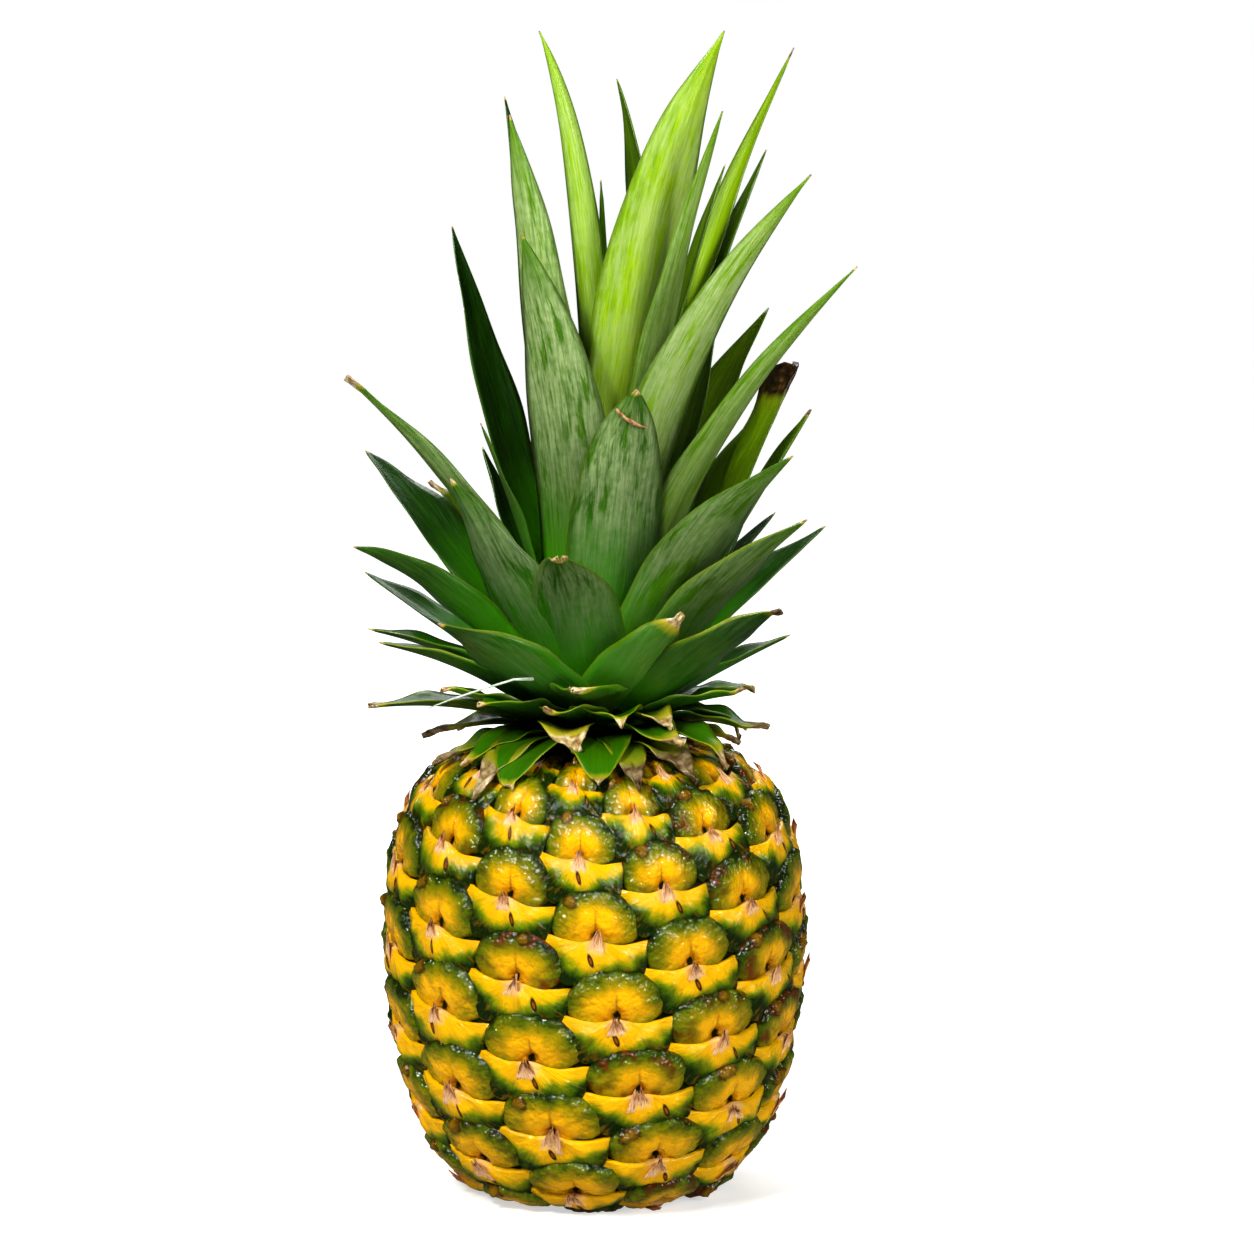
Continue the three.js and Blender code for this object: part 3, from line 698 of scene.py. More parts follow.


# Waxy rind, grown over a swollen fruitlet and wet. The eye sees gold, olive and dark green under hard
# glints. The darkest green, where the rim rolls down into the groove, is partly the rim's own colour and
# partly painted shade. Noise scales are waves a metre: 190 gives stains of about 5 mm and 900 spots of
# about 1 mm, coarser than the real pores, which wouldn't show.
def dome_skin():
    material, shader, node, (x, y, edge, own, place) = skin_material("waxy dome skin", 1.0)
    patches = node(NOISE, place, 190, 3)
    fine = node(NOISE, place, 900, 3)
    upward = node(RANGE, y, -3.0, 10.0, -0.2, 0.1)
    unripe = node(RANGE, own, 0.0, 1.0, -0.07, 0.08)
    mottle = node(RANGE, patches, 0.3, 0.7, -0.14, 0.14, clamp=False)
    mottle = node(PLUS, mottle, ripening(node, place))
    green = edge
    for term in (upward, unripe, mottle):
        green = node(PLUS, green, term)
    # The darkest stops, where the rim rolls into the groove, are partly its own green, partly painted
    # shade.
    base = node(RAMP, green,
                stops=[(0.0, "#ffc400"), (0.28, "#f8bc00"), (0.4, "#d8a800"), (0.52, "#b09600"),
                       (0.66, "#8a8200"), (0.82, "#647000"), (0.94, "#3c5000"), (1.0, "#1c2c00")])

    blister = node(STORED, attribute_name="blister").outputs["Fac"]
    shade = node(RANGE, patches, 0.5, 0.62, 0.0, 0.85)
    outer = node(RANGE, edge, 0.45, 0.7)
    some = node(RANGE, own, 0.45, 0.8)
    brown = node(TIMES, node(TIMES, shade, outer), some)
    bruised = node(BLEND, brown, base, "#743400")
    blister_tone = node(RAMP, blister, stops=[(0.3, "#3a1e00"), (0.7, "#6e4200"), (1.0, "#8a6400")])
    blistered = node(RANGE, blister, 0.05, 0.4, 0.0, 0.85)
    bruised = node(BLEND, blistered, bruised, blister_tone)

    low = node(VECTOR, node(JOIN, x, y), (1.0, 0.8, 0.0), (0.0, 0.3, 0.0), operation="MULTIPLY_ADD")
    ragged = node(VECTOR, fine.outputs["Color"], (2.0, 2.0, 0.0), low, operation="MULTIPLY_ADD")
    away = node(VECTOR, ragged, (1.0, 1.0, 0.0), operation="DISTANCE")
    dark = node(RANGE, away, 0.7, 1.5, 1.0, 0.0)
    halo = node(RANGE, away, 1.0, 3.2, 0.7, 0.0)
    warm = node(BLEND, halo, bruised, "#d98a00")
    crease_x = node(MATH, x, operation="ABSOLUTE")
    crease = node(RANGE, crease_x, 0.1, 0.5, 0.55, 0.0)
    crease = node(TIMES, crease, node(RANGE, y, 8.0, 4.0))
    lined = node(BLEND, crease, warm, "#a86406")
    done = node(BLEND, dark, lined, "#2a1204")

    beads = node("ShaderNodeTexVoronoi", place, 620)
    bead = node(TIMES, beads, node(RANGE, edge, 0.4, 0.75))
    swell = node(NOISE, place, 330, 2)
    relief = node(TIMES_PLUS, bead, -0.8, patches)
    relief = node(TIMES_PLUS, swell, 1.4, relief)
    relief = node(TIMES_PLUS, fine, 0.5, relief)
    bump = node("ShaderNodeBump", {"Strength": 0.75, "Distance": 1.0 * MM, "Height": relief})
    dress(shader, {"Base Color": done, "Normal": bump, "Coat Normal": bump})
    return material


# Rind of a bract, a leaf turned to waxy skin: yellow in the middle, green at its edges, with streaks
# that fan out from its tip, a dark hem and one slit. The dark hem along the lower edge is partly the
# bract's own green and partly painted shade of the crease over the groove. 150 waves a metre give
# stains of 6 to 7 mm.
def bract_skin():
    material, shader, node, (x, y, edge, own, place) = skin_material("waxy bract skin", 0.8)
    patches = node(NOISE, place, 150, 3)
    from_tip = node(MINUS, 1.0, y)
    fan = node(MATH, x, from_tip, operation="ARCTAN2")
    fan_place = node(JOIN, fan, node(TIMES, y, 0.03), own)
    streaks = node(NOISE, fan_place, 9, 4, 0.65)
    spread = node(RANGE, patches, 0.3, 0.7, -0.2, 0.2, clamp=False)
    unripe = node(RANGE, own, 0.0, 1.0, -0.14, 0.08)
    lobes = node(RANGE, y, -4.0, -11.0, -0.2, 0.2)
    near_edge = node(RANGE, edge, 10.5, 0.0, 0.0, 0.8)
    green = node(TIMES, near_edge, node(RANGE, y, -2.2, -6.5, 0.3, 1.0))
    for term in (ripening(node, place), spread, unripe, lobes):
        green = node(PLUS, green, term)
    from_middle = node(MATH, x, operation="ABSOLUTE")
    flank = node(RANGE, from_middle, 0.5, 6.0, -0.42, 0.12)
    flank = node(TIMES, flank, node(RANGE, y, -3.0, -6.5))
    green = node(PLUS, green, flank)
    green = node(TIMES_PLUS, streaks, 0.45, green)
    base = node(RAMP, green,
                stops=[(0.0, "#fac000"), (0.22, "#f4be00"), (0.38, "#d8b000"), (0.5, "#aea200"),
                       (0.62, "#7e8c00"), (0.75, "#567200"), (0.88, "#345200"), (1.0, "#183000")])
    # Dark hem on the lower edge: partly the bract's own green, partly painted shade of the crease.
    rim = node(RANGE, edge, 1.1, 0.3, 0.0, 0.9)
    rimmed_with_crease_shade = node(BLEND, rim, base, "#142c00")
    tone = node(RANGE, streaks, 0.52, 0.75, 0.0, 0.45)
    folded = node(BLEND, tone, rimmed_with_crease_shade, "#cf9000")

    near_tip = node(VECTOR, node(JOIN, x, y), (0.0, -2.0, 0.0), operation="DISTANCE")
    papery = node(RANGE, near_tip, 0.8, 3.6, 0.85, 0.0)
    papery = node(TIMES, node(TIMES, papery, streaks), 1.7)
    dry = node(BLEND, papery, folded, "#f6cf9c")

    slit_x = node(TIMES_PLUS, own, 9.0, -4.0)
    off_x = node(MINUS, node(TIMES_PLUS, y, 0.3, x), slit_x)
    off_x = node(TIMES, off_x, 1.35)
    off_y = node(TIMES_PLUS, y, 0.48, 3.1)
    slit = node(VECTOR, node(JOIN, off_x, off_y), operation="LENGTH")
    flesh = node(RANGE, slit, 0.35, 0.6, 0.8, 0.0)
    slit = node(RANGE, slit, 0.75, 1.1, 1.0, 0.0)
    inside = node(BLEND, flesh, "#351503", "#a4600a")
    cracked = node(BLEND, slit, dry, inside)

    relief = node(TIMES_PLUS, streaks, 0.9, patches)
    relief = node(TIMES_PLUS, slit, -0.6, relief)
    swell = node(NOISE, place, 420, 2)
    relief = node(TIMES_PLUS, swell, 0.8, relief)
    bump = node("ShaderNodeBump", {"Strength": 0.7, "Distance": 0.9 * MM, "Height": relief})
    dress(shader, {"Base Color": cracked, "Normal": bump, "Coat Normal": bump})
    return material


# The same rind deep in the grooves, uncoated, with patches of about 4 mm: its own dark green, made
# nearly black as painted shade of the deep grooves.
def groove_skin():
    material, shader, node, (*_, place) = skin_material("dark groove skin", 0.0)
    patches = node(NOISE, place, 240, 4)
    base = node(RAMP, patches, stops=[(0.3, "#0a1400"), (0.55, "#152400"), (0.75, "#243600")])
    bump = node("ShaderNodeBump", {"Strength": 0.5, "Distance": 0.6 * MM, "Height": patches})
    dress(shader, {"Base Color": base, "Normal": bump})
    return material


# Dead, papery leaf, dried on the fruit: pale and matt, brown at its torn end, with fibres lengthwise.
# Across it the noise has 2.2 times as many waves, so fibres are wider than real ones and still show.
def dry_tip():
    material, shader, node, (x, y, edge, own, _) = skin_material("dry bract tip", 0.0)
    fibres = node(NOISE, node(JOIN, node(TIMES, x, 2.2), y, own), 4.0, 3)
    tinted = node(TIMES_PLUS, edge, 0.35, fibres)
    base = node(RAMP, tinted,
                stops=[(0.35, "#ffe2ba"), (0.58, "#f2c79c"), (0.78, "#cd9664"), (0.97, "#6b3a1c")])
    bump = node("ShaderNodeBump", {"Strength": 0.6, "Distance": 0.4 * MM, "Height": fibres})
    dress(shader, {"Roughness": 0.7, "Base Color": base, "Normal": bump})
    return material


# %% The fruit's pieces
LOW_TIP_GROWTH = 0.45
fruitlet_domes = laid_out("fruitlet_domes", domes, dome_skin())
fruitlet_bracts = laid_out("fruitlet_bracts", bracts, bract_skin())
bract_tips = laid_out("bract_tips", tips, dry_tip(), LOW_TIP_GROWTH)

# %% [markdown]
# Under the fruitlets runs one closed skin, the dark green bottom of the grooves. It is a flat grid
# that the same group rolls up, so it always lies the same depth under the fruitlets.

# %% Grooves
GROOVE_COLUMNS = 160
GROOVE_ROWS = 110
GROOVE_SPAN = (-100, 90)
SEAM_GAP = 0.01


def groove_piece():
    """A closed skin at the depth of the grooves, rolled up from a flat sheet."""
    tree, ids, node, given = new_tree("groove skin", {
        "Geometry": "Geometry", "Line": "Object", "Material": "Material"})
    rolled = node("GeometryNodeGroup", {"Geometry": given["Geometry"], "Line": given["Line"]},
                  node_tree=roll)
    merged = node("GeometryNodeMergeByDistance", {"Geometry": rolled, "Distance": SEAM_GAP * MM})
    finished = node("GeometryNodeSetMaterial", {"Geometry": merged, "Material": given["Material"]})
    node("NodeGroupOutput", {"Geometry": finished})

    around = np.linspace(0, 2 * math.pi * BELLY_RADIUS, GROOVE_COLUMNS + 1)
    up = np.linspace(*GROOVE_SPAN, GROOVE_ROWS + 1)
    x, y = np.meshgrid(around, up)
    points = np.column_stack([x.ravel(), y.ravel(), np.full(x.size, GROOVE)])
    sheet = mesh_object("fruit_grooves", points, grid_faces(GROOVE_ROWS + 1, GROOVE_COLUMNS + 1), {})
    return run_through(sheet, tree, ids, {"Line": barrel_object, "Material": groove_skin()})


fruit_grooves = groove_piece()
for piece in (fruit_grooves, fruitlet_domes, fruitlet_bracts, bract_tips):
    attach(piece, "root")
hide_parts("fruit")
bpy.data.objects.remove(barrel_object)

# %% [markdown]
# The crown is a leafy shoot: stiff leaves set round a short stem, long and upright in the middle,
# short and bent outwards at the collar. Each leaf has its own place, lean and length, so the leaves
# that show are a table, one row a leaf, and the far side follows the same habit by a rule. The
# middle line of a leaf is a curve through its root, a knee and its tip. The blade is a channel with
# thin edges, thickest at the middle, and it tapers over its outer half.

# %% Leaf table
# Azimuth 0 faces the front (-Y), +90 is +X. Columns: azimuth at root and tip, root height, lean at
# the root (degrees from upright), length of that lean (share of the leaf), reach and height of the
# tip, width, channel depth, turn, tip width share; then youth, bloom, dry share of the length and
# how dark the dry part is.
FRONT_LEAVES = [
    (37, 72, 160, 1, 0.62, 38, 328, 29, 0.25, 0, 0, 1, 0.55, 0.004, 0),
    (30, 55, 154, 0, 0.49, 72, 289, 16, 0.3, 18, 0, 0.45, 0.9, 0.004, 0),
    (-22, -28, 156, 3, 0.55, 41, 273, 24, 0.3, 0, 0, 0.05, 0.9, 0.01, 0.3),
    (-46, -50, 164, 6, 0.6, 30, 305, 19, 0.3, 10, 0, 0.15, 0.8, 0.01, 0.3),
    (-140, -140, 168, 8, 0.5, 40, 310, 15, 0.3, 0, 0, 0, 0.05, 0.005, 0),
    (16, -70, 172, 3, 0.75, 16, 328, 9, 0.3, 0, 0, 0.75, 0.45, 0.004, 0),
    (60, 30, 174, 0, 0.5, 4, 287, 10, 0.3, 0, 0, 0.1, 0.1, 0.004, 0),
    (115, 165, 168, 14, 0.6, 25, 315, 21, 0.3, 0, 0, 0.2, 0.05, 0.004, 0),
    (60, 60, 168, 8, 0.55, 41, 306, 13, 0.3, 10, 0, 0.35, 0.55, 0.004, 0),
    (125, 125, 162, 10, 0.5, 70, 324, 14, 0.3, 0, 0, 0.7, 0.15, 0.02, 0.6),
    (110, 112, 166, 8, 0.5, 40, 291, 14, 0.3, 0, 0, 0.25, 0.2, 0.004, 0),
    (115, 115, 162, 12, 0.5, 54, 295, 16, 0.3, 0, 0, 0.15, 0, 0.004, 0),
    (48, 64, 146, 6, 0.43, 80, 264, 12, 0.35, 18, 0, 0.3, 0.6, 0.006, 0),
    (135, 132, 152, 20, 0.5, 68, 249, 24, 0.3, 0, 0, 0.4, 0.05, 0.004, 0),
    (112, 116, 148, 34, 0.55, 64, 234, 31, 0.3, 0, 0.62, 0.4, 0.25, 0.12, 1),
    (108, 110, 144, 35, 0.5, 66, 221, 20, 0.3, 0, 0.1, 0.3, 0.1, 0.02, 0.7),
    (16, 18, 142, 12, 0.75, 39, 231, 27, 0.3, 0, 0, 0, 0.9, 0.03, 0),
    (-10, -11, 138, 22, 0.6, 54, 187, 26, 0.35, 0, 0.2, 0, 0.75, 0.05, 0.1),
    (42, 52, 140, 22, 0.5, 69, 213, 24, 0.35, 12, 0, 0.1, 0.75, 0.01, 0.2),
    (108, 110, 142, 45, 0.5, 49, 201, 18, 0.3, 0, 0, 0, 0.1, 0.01, 0.2),
    (54, 58, 137, 32, 0.5, 69, 195, 24, 0.35, 12, 0, 0.1, 0.6, 0.015, 0.1),
    (94, 96, 139, 42, 0.5, 66, 189, 19, 0.35, -15, 0, 0, 0.15, 0.01, 0.1),
    (125, 125, 144, 44, 0.5, 64, 190, 14, 0.3, 0, 0, 0, 0, 0.01, 0),
    (48, 54, 135, 52, 0.5, 63, 171, 24, 0.35, 12, 0.12, 0, 0.25, 0.04, 0.8),
    (92, 96, 136, 58, 0.5, 56, 158, 17, 0.35, 0, 0, 0, 0.1, 0.02, 0.2),
    (-52, -64, 146, 18, 0.42, 75, 234, 14, 0.35, 4, 0.25, 0.1, 0.6, 0.03, 0.3),
    (-122, -128, 156, 20, 0.62, 52, 273, 15, 0.3, -12, 0, 0, 0, 0.005, 0),
    (-112, -114, 150, 22, 0.5, 35, 211, 18, 0.3, 0, 0, 0, 0.1, 0.01, 0),
    (-84, -84, 152, 12, 0.5, 32, 219, 12, 0.3, 0, 0, 0, 0.2, 0.01, 0),
    (-89, -100, 144, 36, 0.7, 66, 210, 24, 0.35, -25, 0, 0, 0.1, 0.015, 0.6),
    (-42, -50, 141, 34, 0.5, 51, 206, 28, 0.35, 0, 0, 0, 0.75, 0.02, 0.2),
    (-66, -72, 140, 40, 0.67, 70, 186, 17, 0.4, 24, 0, 0, 0.1, 0.01, 0),
    (-100, -102, 140, 56, 0.5, 67, 175, 17, 0.4, -10, 0, 0, 0.1, 0.01, 0),
    (-118, -118, 144, 48, 0.5, 52, 180, 14, 0.3, 0, 0, 0, 0, 0.01, 0),
    (-86, -86, 137, 50, 0.5, 64, 161, 16, 0.4, 0, 0, 0, 0.2, 0.02, 0.2),
    (-68, -72, 135, 50, 0.5, 63, 159, 17, 0.4, 0, 0, 0, 0.3, 0.015, 0.1),
    (-30, -46, 137, 56, 0.45, 59, 167, 24, 0.35, 10, 0, 0, 0.4, 0.02, 0.1),
    (-80, -84, 133, 68, 0.5, 64, 139, 17, 0.35, 0, 0, 0, 0.15, 0.06, 0.5),
    (-58, -62, 134, 66, 0.5, 48, 147, 17, 0.35, 0, 0, 0, 0.2, 0.05, 0),
    (16, 35, 137, 50, 0.5, 44, 169, 22, 0.35, 0, 0.12, 0.05, 0.4, 0.1, 0),
    (98, 100, 135, 66, 0.5, 46, 143, 17, 0.35, 0, 0.3, 0, 0.1, 0.05, 0.3),
    (74, 78, 133, 68, 0.55, 49, 131, 17, 0.35, 0, 0.1, 0, 0.1, 0.12, 0.6),
    (105, 105, 132, 74, 0.5, 45, 130, 15, 0.35, 0, 0, 0, 0.1, 0.08, 0.5),
    (34, 38, 135, 64, 0.5, 36, 138, 16, 0.35, 0, 0.2, 0.1, 0.2, 0.2, 0.1),
    (-3, -5, 137, 56, 0.55, 42, 148, 22, 0.35, 0, 0, 0.1, 0.3, 0.1, 0),
    (-20, -10, 132, 64, 0.55, 39, 132, 16, 0.35, 0, 0.2, 0.1, 0.2, 0.28, 0.1),
    (2, 2, 131, 74, 0.5, 47, 122, 19, 0.3, 0, 0, 0.05, 0, 0.07, 0),
    (-34, -30, 131, 78, 0.5, 49, 120, 20, 0.3, 0, 0, 0.05, 0, 0.06, 0),
    (-52, -56, 131, 74, 0.5, 44, 125, 15, 0.3, 0, 0, 0.05, 0, 0.08, 0),
    (-70, -72, 131, 78, 0.5, 46, 122, 12, 0.3, 0, 0, 0, 0, 0.2, 0.6),
    (28, 33, 132, 66, 0.55, 42, 131, 18, 0.35, 0, 0.2, 0.05, 0, 0.14, 0.1),
    (34, 36, 131, 80, 0.5, 48, 122, 15, 0.3, 0, 0, 0, 0, 0.35, 0.7),
    (-95, -95, 132, 76, 0.5, 49, 128, 12, 0.3, 0, 0, 0, 0, 0.25, 0.7),
]
# Small leaves that only crowd the collar, the last ones behind, with the same columns
COLLAR_LEAVES = [
    (-40, -43, 131, 78, 0.5, 51, 118, 13, 0.3, 0, 0, 0.05, 0, 0.3, 0.4),
    (14, 17, 131, 78, 0.5, 48, 122, 12, 0.3, 0, 0, 0, 0, 0.25, 0.7),
    (84, 86, 133, 66, 0.5, 44, 134, 16, 0.35, 0, 0, 0, 0.1, 0.07, 0.3),
    (52, 56, 132, 70, 0.5, 47, 127, 15, 0.3, 0, 0, 0.05, 0.1, 0.12, 0.4),
    (-14, -20, 134, 60, 0.5, 37, 141, 19, 0.35, 0, 0, 0, 0.1, 0.06, 0.1),
    (8, 12, 134, 60, 0.5, 39, 140, 20, 0.35, 0, 0, 0, 0.1, 0.06, 0.1),
    (-44, -48, 134, 58, 0.5, 43, 143, 18, 0.35, 0, 0, 0, 0.1, 0.05, 0),
    (60, 64, 134, 58, 0.5, 47, 145, 17, 0.35, 0, 0, 0, 0.1, 0.06, 0.3),
    (122, 125, 131, 76, 0.5, 49, 122, 14, 0.3, 0, 0, 0, 0, 0.15, 0.5),
    (148, 151, 132, 68, 0.5, 47, 129, 17, 0.3, 0, 0, 0, 0, 0.12, 0.3),
    (168, 166, 131, 78, 0.5, 50, 120, 16, 0.3, 0, 0, 0.05, 0, 0.1, 0.2),
    (192, 194, 132, 70, 0.5, 47, 128, 17, 0.3, 0, 0, 0, 0, 0.12, 0.6),
    (214, 211, 131, 77, 0.5, 50, 121, 16, 0.3, 0, 0, 0.05, 0, 0.14, 0.3),
    (236, 238, 132, 70, 0.5, 48, 128, 15, 0.3, 0, 0, 0, 0, 0.12, 0.4),
]
LEAF_COLUMNS = ("root_turn", "tip_turn", "root", "lean", "hold", "reach", "height", "width",
                "channel", "turn", "tip", "youth", "bloom", "dry", "scorch")

# Leaves of the far side, from the collar up, a golden angle apart within the back of the crown
BACK_LEAVES = 16
BACK_ROOTS = (132, 160)
BACK_LEANS = (74, 12)
BACK_HEIGHTS = (130, 268)
BACK_REACH = 50
BACK_BULGE = 12
BACK_NARROWING = 14
BACK_WIDTHS = (17, 23)
BACK_CHANNEL = 0.33
BACK_SPREAD = 62
BACK_JITTER = 8
GOLDEN_SHARE = 0.618034
BACK_SEED = 7
RANDOM_FACTOR = 16807
RANDOM_RANGE = 2147483647


def random_source(seed):
    """Repeatable random numbers between 0 and 1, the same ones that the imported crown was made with."""
    state = seed
    while True:
        state = state * RANDOM_FACTOR % RANDOM_RANGE
        yield state / RANDOM_RANGE


def between(pair, share):
    """A share of the way from the first of a pair to the second."""
    return pair[0] + (pair[1] - pair[0]) * share


def all_leaves():
    """One dictionary a leaf: the front, the far side by its rule, and the collar."""
    leaves = [dict(zip(LEAF_COLUMNS, row)) for row in FRONT_LEAVES]
    numbers = random_source(BACK_SEED)
    for k in range(BACK_LEAVES):
        level = k / (BACK_LEAVES - 1)
        root_turn = 180 + BACK_SPREAD * (2 * ((k * GOLDEN_SHARE) % 1) - 1)
        tip_turn = root_turn + BACK_JITTER * (next(numbers) - 0.5)
        lean = between(BACK_LEANS, level) + BACK_JITTER * (next(numbers) - 0.5)
        height = between(BACK_HEIGHTS, level) + BACK_JITTER * (next(numbers) - 0.5)
        leaves.append({
            "root_turn": root_turn, "tip_turn": tip_turn, "root": between(BACK_ROOTS, level),
            "lean": lean, "hold": 0.5,
            "reach": BACK_REACH + BACK_BULGE * math.sin(math.pi * level) - BACK_NARROWING * level,
            "height": height, "width": between(BACK_WIDTHS, next(numbers)), "channel": BACK_CHANNEL,
            "turn": 0, "tip": 0, "youth": 0.3 * level, "bloom": 0.75, "dry": 0.1 * (1 - level) + 0.01,
            "scorch": 0.4,
        })
    return leaves + [dict(zip(LEAF_COLUMNS, row)) for row in COLLAR_LEAVES]


leaves = all_leaves()
longest = max(leaf["height"] - leaf["root"] for leaf in leaves)
print(len(leaves), "leaves, the longest", round(longest), "mm high")

# %% Leaf blades
STEM = [(0, 19), (22, 15), (45, 10), (60, 5), (66, 0)]
STEM_SIDES = 40
STEM_GAP = 0.3
LEAF_SINK = 3
MIDRIB_THICKNESS = 1.5
BLADE_THICKNESS = 0.8
FULL_WIDTH_FROM_TIP = 0.55
TAPER_POWER = 1.65
CLASP_WIDTH = 0.86
CLASP_LENGTH = 0.2
TWIST_LENGTH = 0.4
BLUNT_TIP_START = 0.5
BLUNT_TIP_GROWTH = 12
CLEAR_OF_FRUIT = 1.0
LEAF_SECTIONS = 40
LEAF_ACROSS = 10
POINT_HALF_WIDTH = 0.25
CHANNEL_POWER = 1.45
BROAD_WAVE = 0.5
FINE_WAVE = 0.35
CRUMPLE = 0.7
CURLED_FROM_DRY = 0.025
# Leaves rooted from 140 mm down to 132 mm become collar leaves, with wide yellow hems and painted shade.
HEM_AND_SHADE_ROOTS = (140, 132)
LEAF_SEED = 400


def outward(azimuth):
    """Level direction away from the axis."""
    return np.array([math.sin(azimuth), -math.cos(azimuth), 0.0])


def stem_radius(height):
    """Radius of the crown's stem at a height above the ground."""
    above = [z for z, _ in STEM]
    return np.interp(height - FRUIT_HEIGHT, above, [r for _, r in STEM])


def shoulder_height(radius):
    """Height of the barrel's side at a radius near its top."""
    share = np.clip((radius - TOP_RADIUS) / (BELLY_RADIUS - TOP_RADIUS), 0, 1)
    rise = (1 - share ** UPPER_ROUNDNESS) ** (1 / UPPER_ROUNDNESS)
    return BELLY_HEIGHT + (FRUIT_HEIGHT - BELLY_HEIGHT) * rise


def width_share(t, tip):
    """Share of the full width at t along a leaf, whose tip keeps a share of it."""
    from_tip = np.clip((1 - t) / FULL_WIDTH_FROM_TIP, 0, 1)
    taper = 1 - (1 - from_tip) ** TAPER_POWER
    blunt = tip * np.clip(BLUNT_TIP_START + BLUNT_TIP_GROWTH * from_tip, 0, 1)
    clasp = CLASP_WIDTH + (1 - CLASP_WIDTH) * np.clip(t / CLASP_LENGTH, 0, 1)
    return np.maximum(taper, blunt) * clasp


def leaf_frame(leaf, t):
    """Middle line, side direction and back direction at each t, from root (0) to tip (1)."""
    out = outward(math.radians(leaf["root_turn"]))
    lean = math.radians(leaf["lean"])
    root = out * (stem_radius(leaf["root"]) - LEAF_SINK) + [0, 0, leaf["root"]]
    tip = outward(math.radians(leaf["tip_turn"])) * leaf["reach"] + [0, 0, leaf["height"]]
    rise = out * math.sin(lean) + [0, 0, math.cos(lean)]
    knee = root + rise * leaf["hold"] * np.linalg.norm(tip - root)
    t = t[:, None]
    middle = (1 - t) ** 2 * root + 2 * t * (1 - t) * knee + t ** 2 * tip
    along = 2 * (1 - t) * (knee - root) + 2 * t * (tip - knee)
    along /= np.linalg.norm(along, axis=1)[:, None]
    across = np.array([-out[1], out[0], 0])
    side = across - along * (along @ across)[:, None]
    side /= np.linalg.norm(side, axis=1)[:, None]
    twist = math.radians(leaf["turn"]) * np.clip(t / TWIST_LENGTH, 0, 1)
    twist *= -1 if leaf["root_turn"] > 0 else 1
    side = side * np.cos(twist) + np.cross(along, side) * np.sin(twist)
    return middle, side, np.cross(side, along)


def leaf_points(leaf, draw):
    """Points, and the values that the leaf material reads, as rings of sections."""
    t = np.linspace(0, 1, LEAF_SECTIONS) ** 0.92
    middle, side, back = leaf_frame(leaf, t)
    length = np.linalg.norm(np.diff(middle, axis=0), axis=1).sum()
    half = np.maximum(POINT_HALF_WIDTH, leaf["width"] * width_share(t, leaf["tip"]) / 2)
    phase = draw.uniform(0, 2 * math.pi, 6)
    half = half * (1 + 0.025 * np.sin(9 * t + phase[0]) * smooth(0.1, 0.4, t))

    there = np.linspace(-1, 1, LEAF_ACROSS)
    across = np.concatenate([there, there[-2:0:-1]])
    face = np.concatenate([[0.5], np.zeros(LEAF_ACROSS - 2), [0.5], np.ones(LEAF_ACROSS - 2)])
    outer = np.where(face < 0.5, 0.5, np.where(face > 0.5, -0.5, 0))
    mid = MIDRIB_THICKNESS + (BLADE_THICKNESS - MIDRIB_THICKNESS) * t
    body = np.sqrt(1 - across ** 2)
    ridge = (mid[:, None] - BLADE_THICKNESS) * (1 - np.abs(across)) ** 2
    thickness = (BLADE_THICKNESS + ridge) * body ** 0.5
    thickness = np.minimum(thickness, half[:, None] * 0.9)
    bend = np.abs(across) ** CHANNEL_POWER
    depth = outer * thickness - bend * (half * leaf["channel"])[:, None]
    wave = BROAD_WAVE * np.sin(13 * t + phase[1])[:, None] * across ** 2 * np.sign(across)
    wave = wave + FINE_WAVE * np.sin(21 * t + phase[2])[:, None] * across ** 2
    depth = depth + wave * smooth(0.15, 0.5, t)[:, None] * np.minimum(half / 6, 1)[:, None]

    curled = smooth(1 - 1.6 * leaf["dry"], 1, t) * (leaf["dry"] > CURLED_FROM_DRY)
    shift = curled * draw.uniform(-1, 1) * min(2.5, 30 * leaf["dry"])
    lift = curled * draw.uniform(-1, 1) * min(3.0, 40 * leaf["dry"])
    crumple = curled[:, None] * CRUMPLE * np.sin(6 * across + 30 * t[:, None] + phase[3])
    points = middle[:, None] + side[:, None] * (across * half[:, None] + shift[:, None])[..., None]
    points = points + back[:, None] * (depth + crumple + lift[:, None])[..., None]

    radius = np.hypot(points[..., 0], points[..., 1])
    need = (shoulder_height(radius) + CLEAR_OF_FRUIT - points[..., 2]).max(axis=1)
    points[..., 2] += np.maximum(0, need)[:, None]

    shape = points.shape[:2]
    place = np.stack([np.broadcast_to(across, shape), np.broadcast_to(t[:, None], shape),
                      np.full(shape, length)], -1)
    kind = np.tile([leaf["youth"], leaf["bloom"], leaf["dry"]], (points[..., 0].size, 1))
    # The collar share, read for the yellow hems and for the painted shade on collar leaves.
    hem = float(smooth(*HEM_AND_SHADE_ROOTS, leaf["root"]))
    own = np.tile([draw.uniform(), leaf["scorch"], hem], (points[..., 0].size, 1))
    return points.reshape(-1, 3), place.reshape(-1, 3), kind, np.tile(face, LEAF_SECTIONS), own


def tube_faces(rings, sides):
    """Faces of a tube of rings, with both ends closed."""
    faces = [list(range(sides))]
    for ring in range(rings - 1):
        low = ring * sides
        for k in range(sides):
            step = (k + 1) % sides
            faces.append([low + k, low + step, low + step + sides, low + k + sides])
    faces.append([(rings - 1) * sides + k for k in reversed(range(sides))])
    return faces


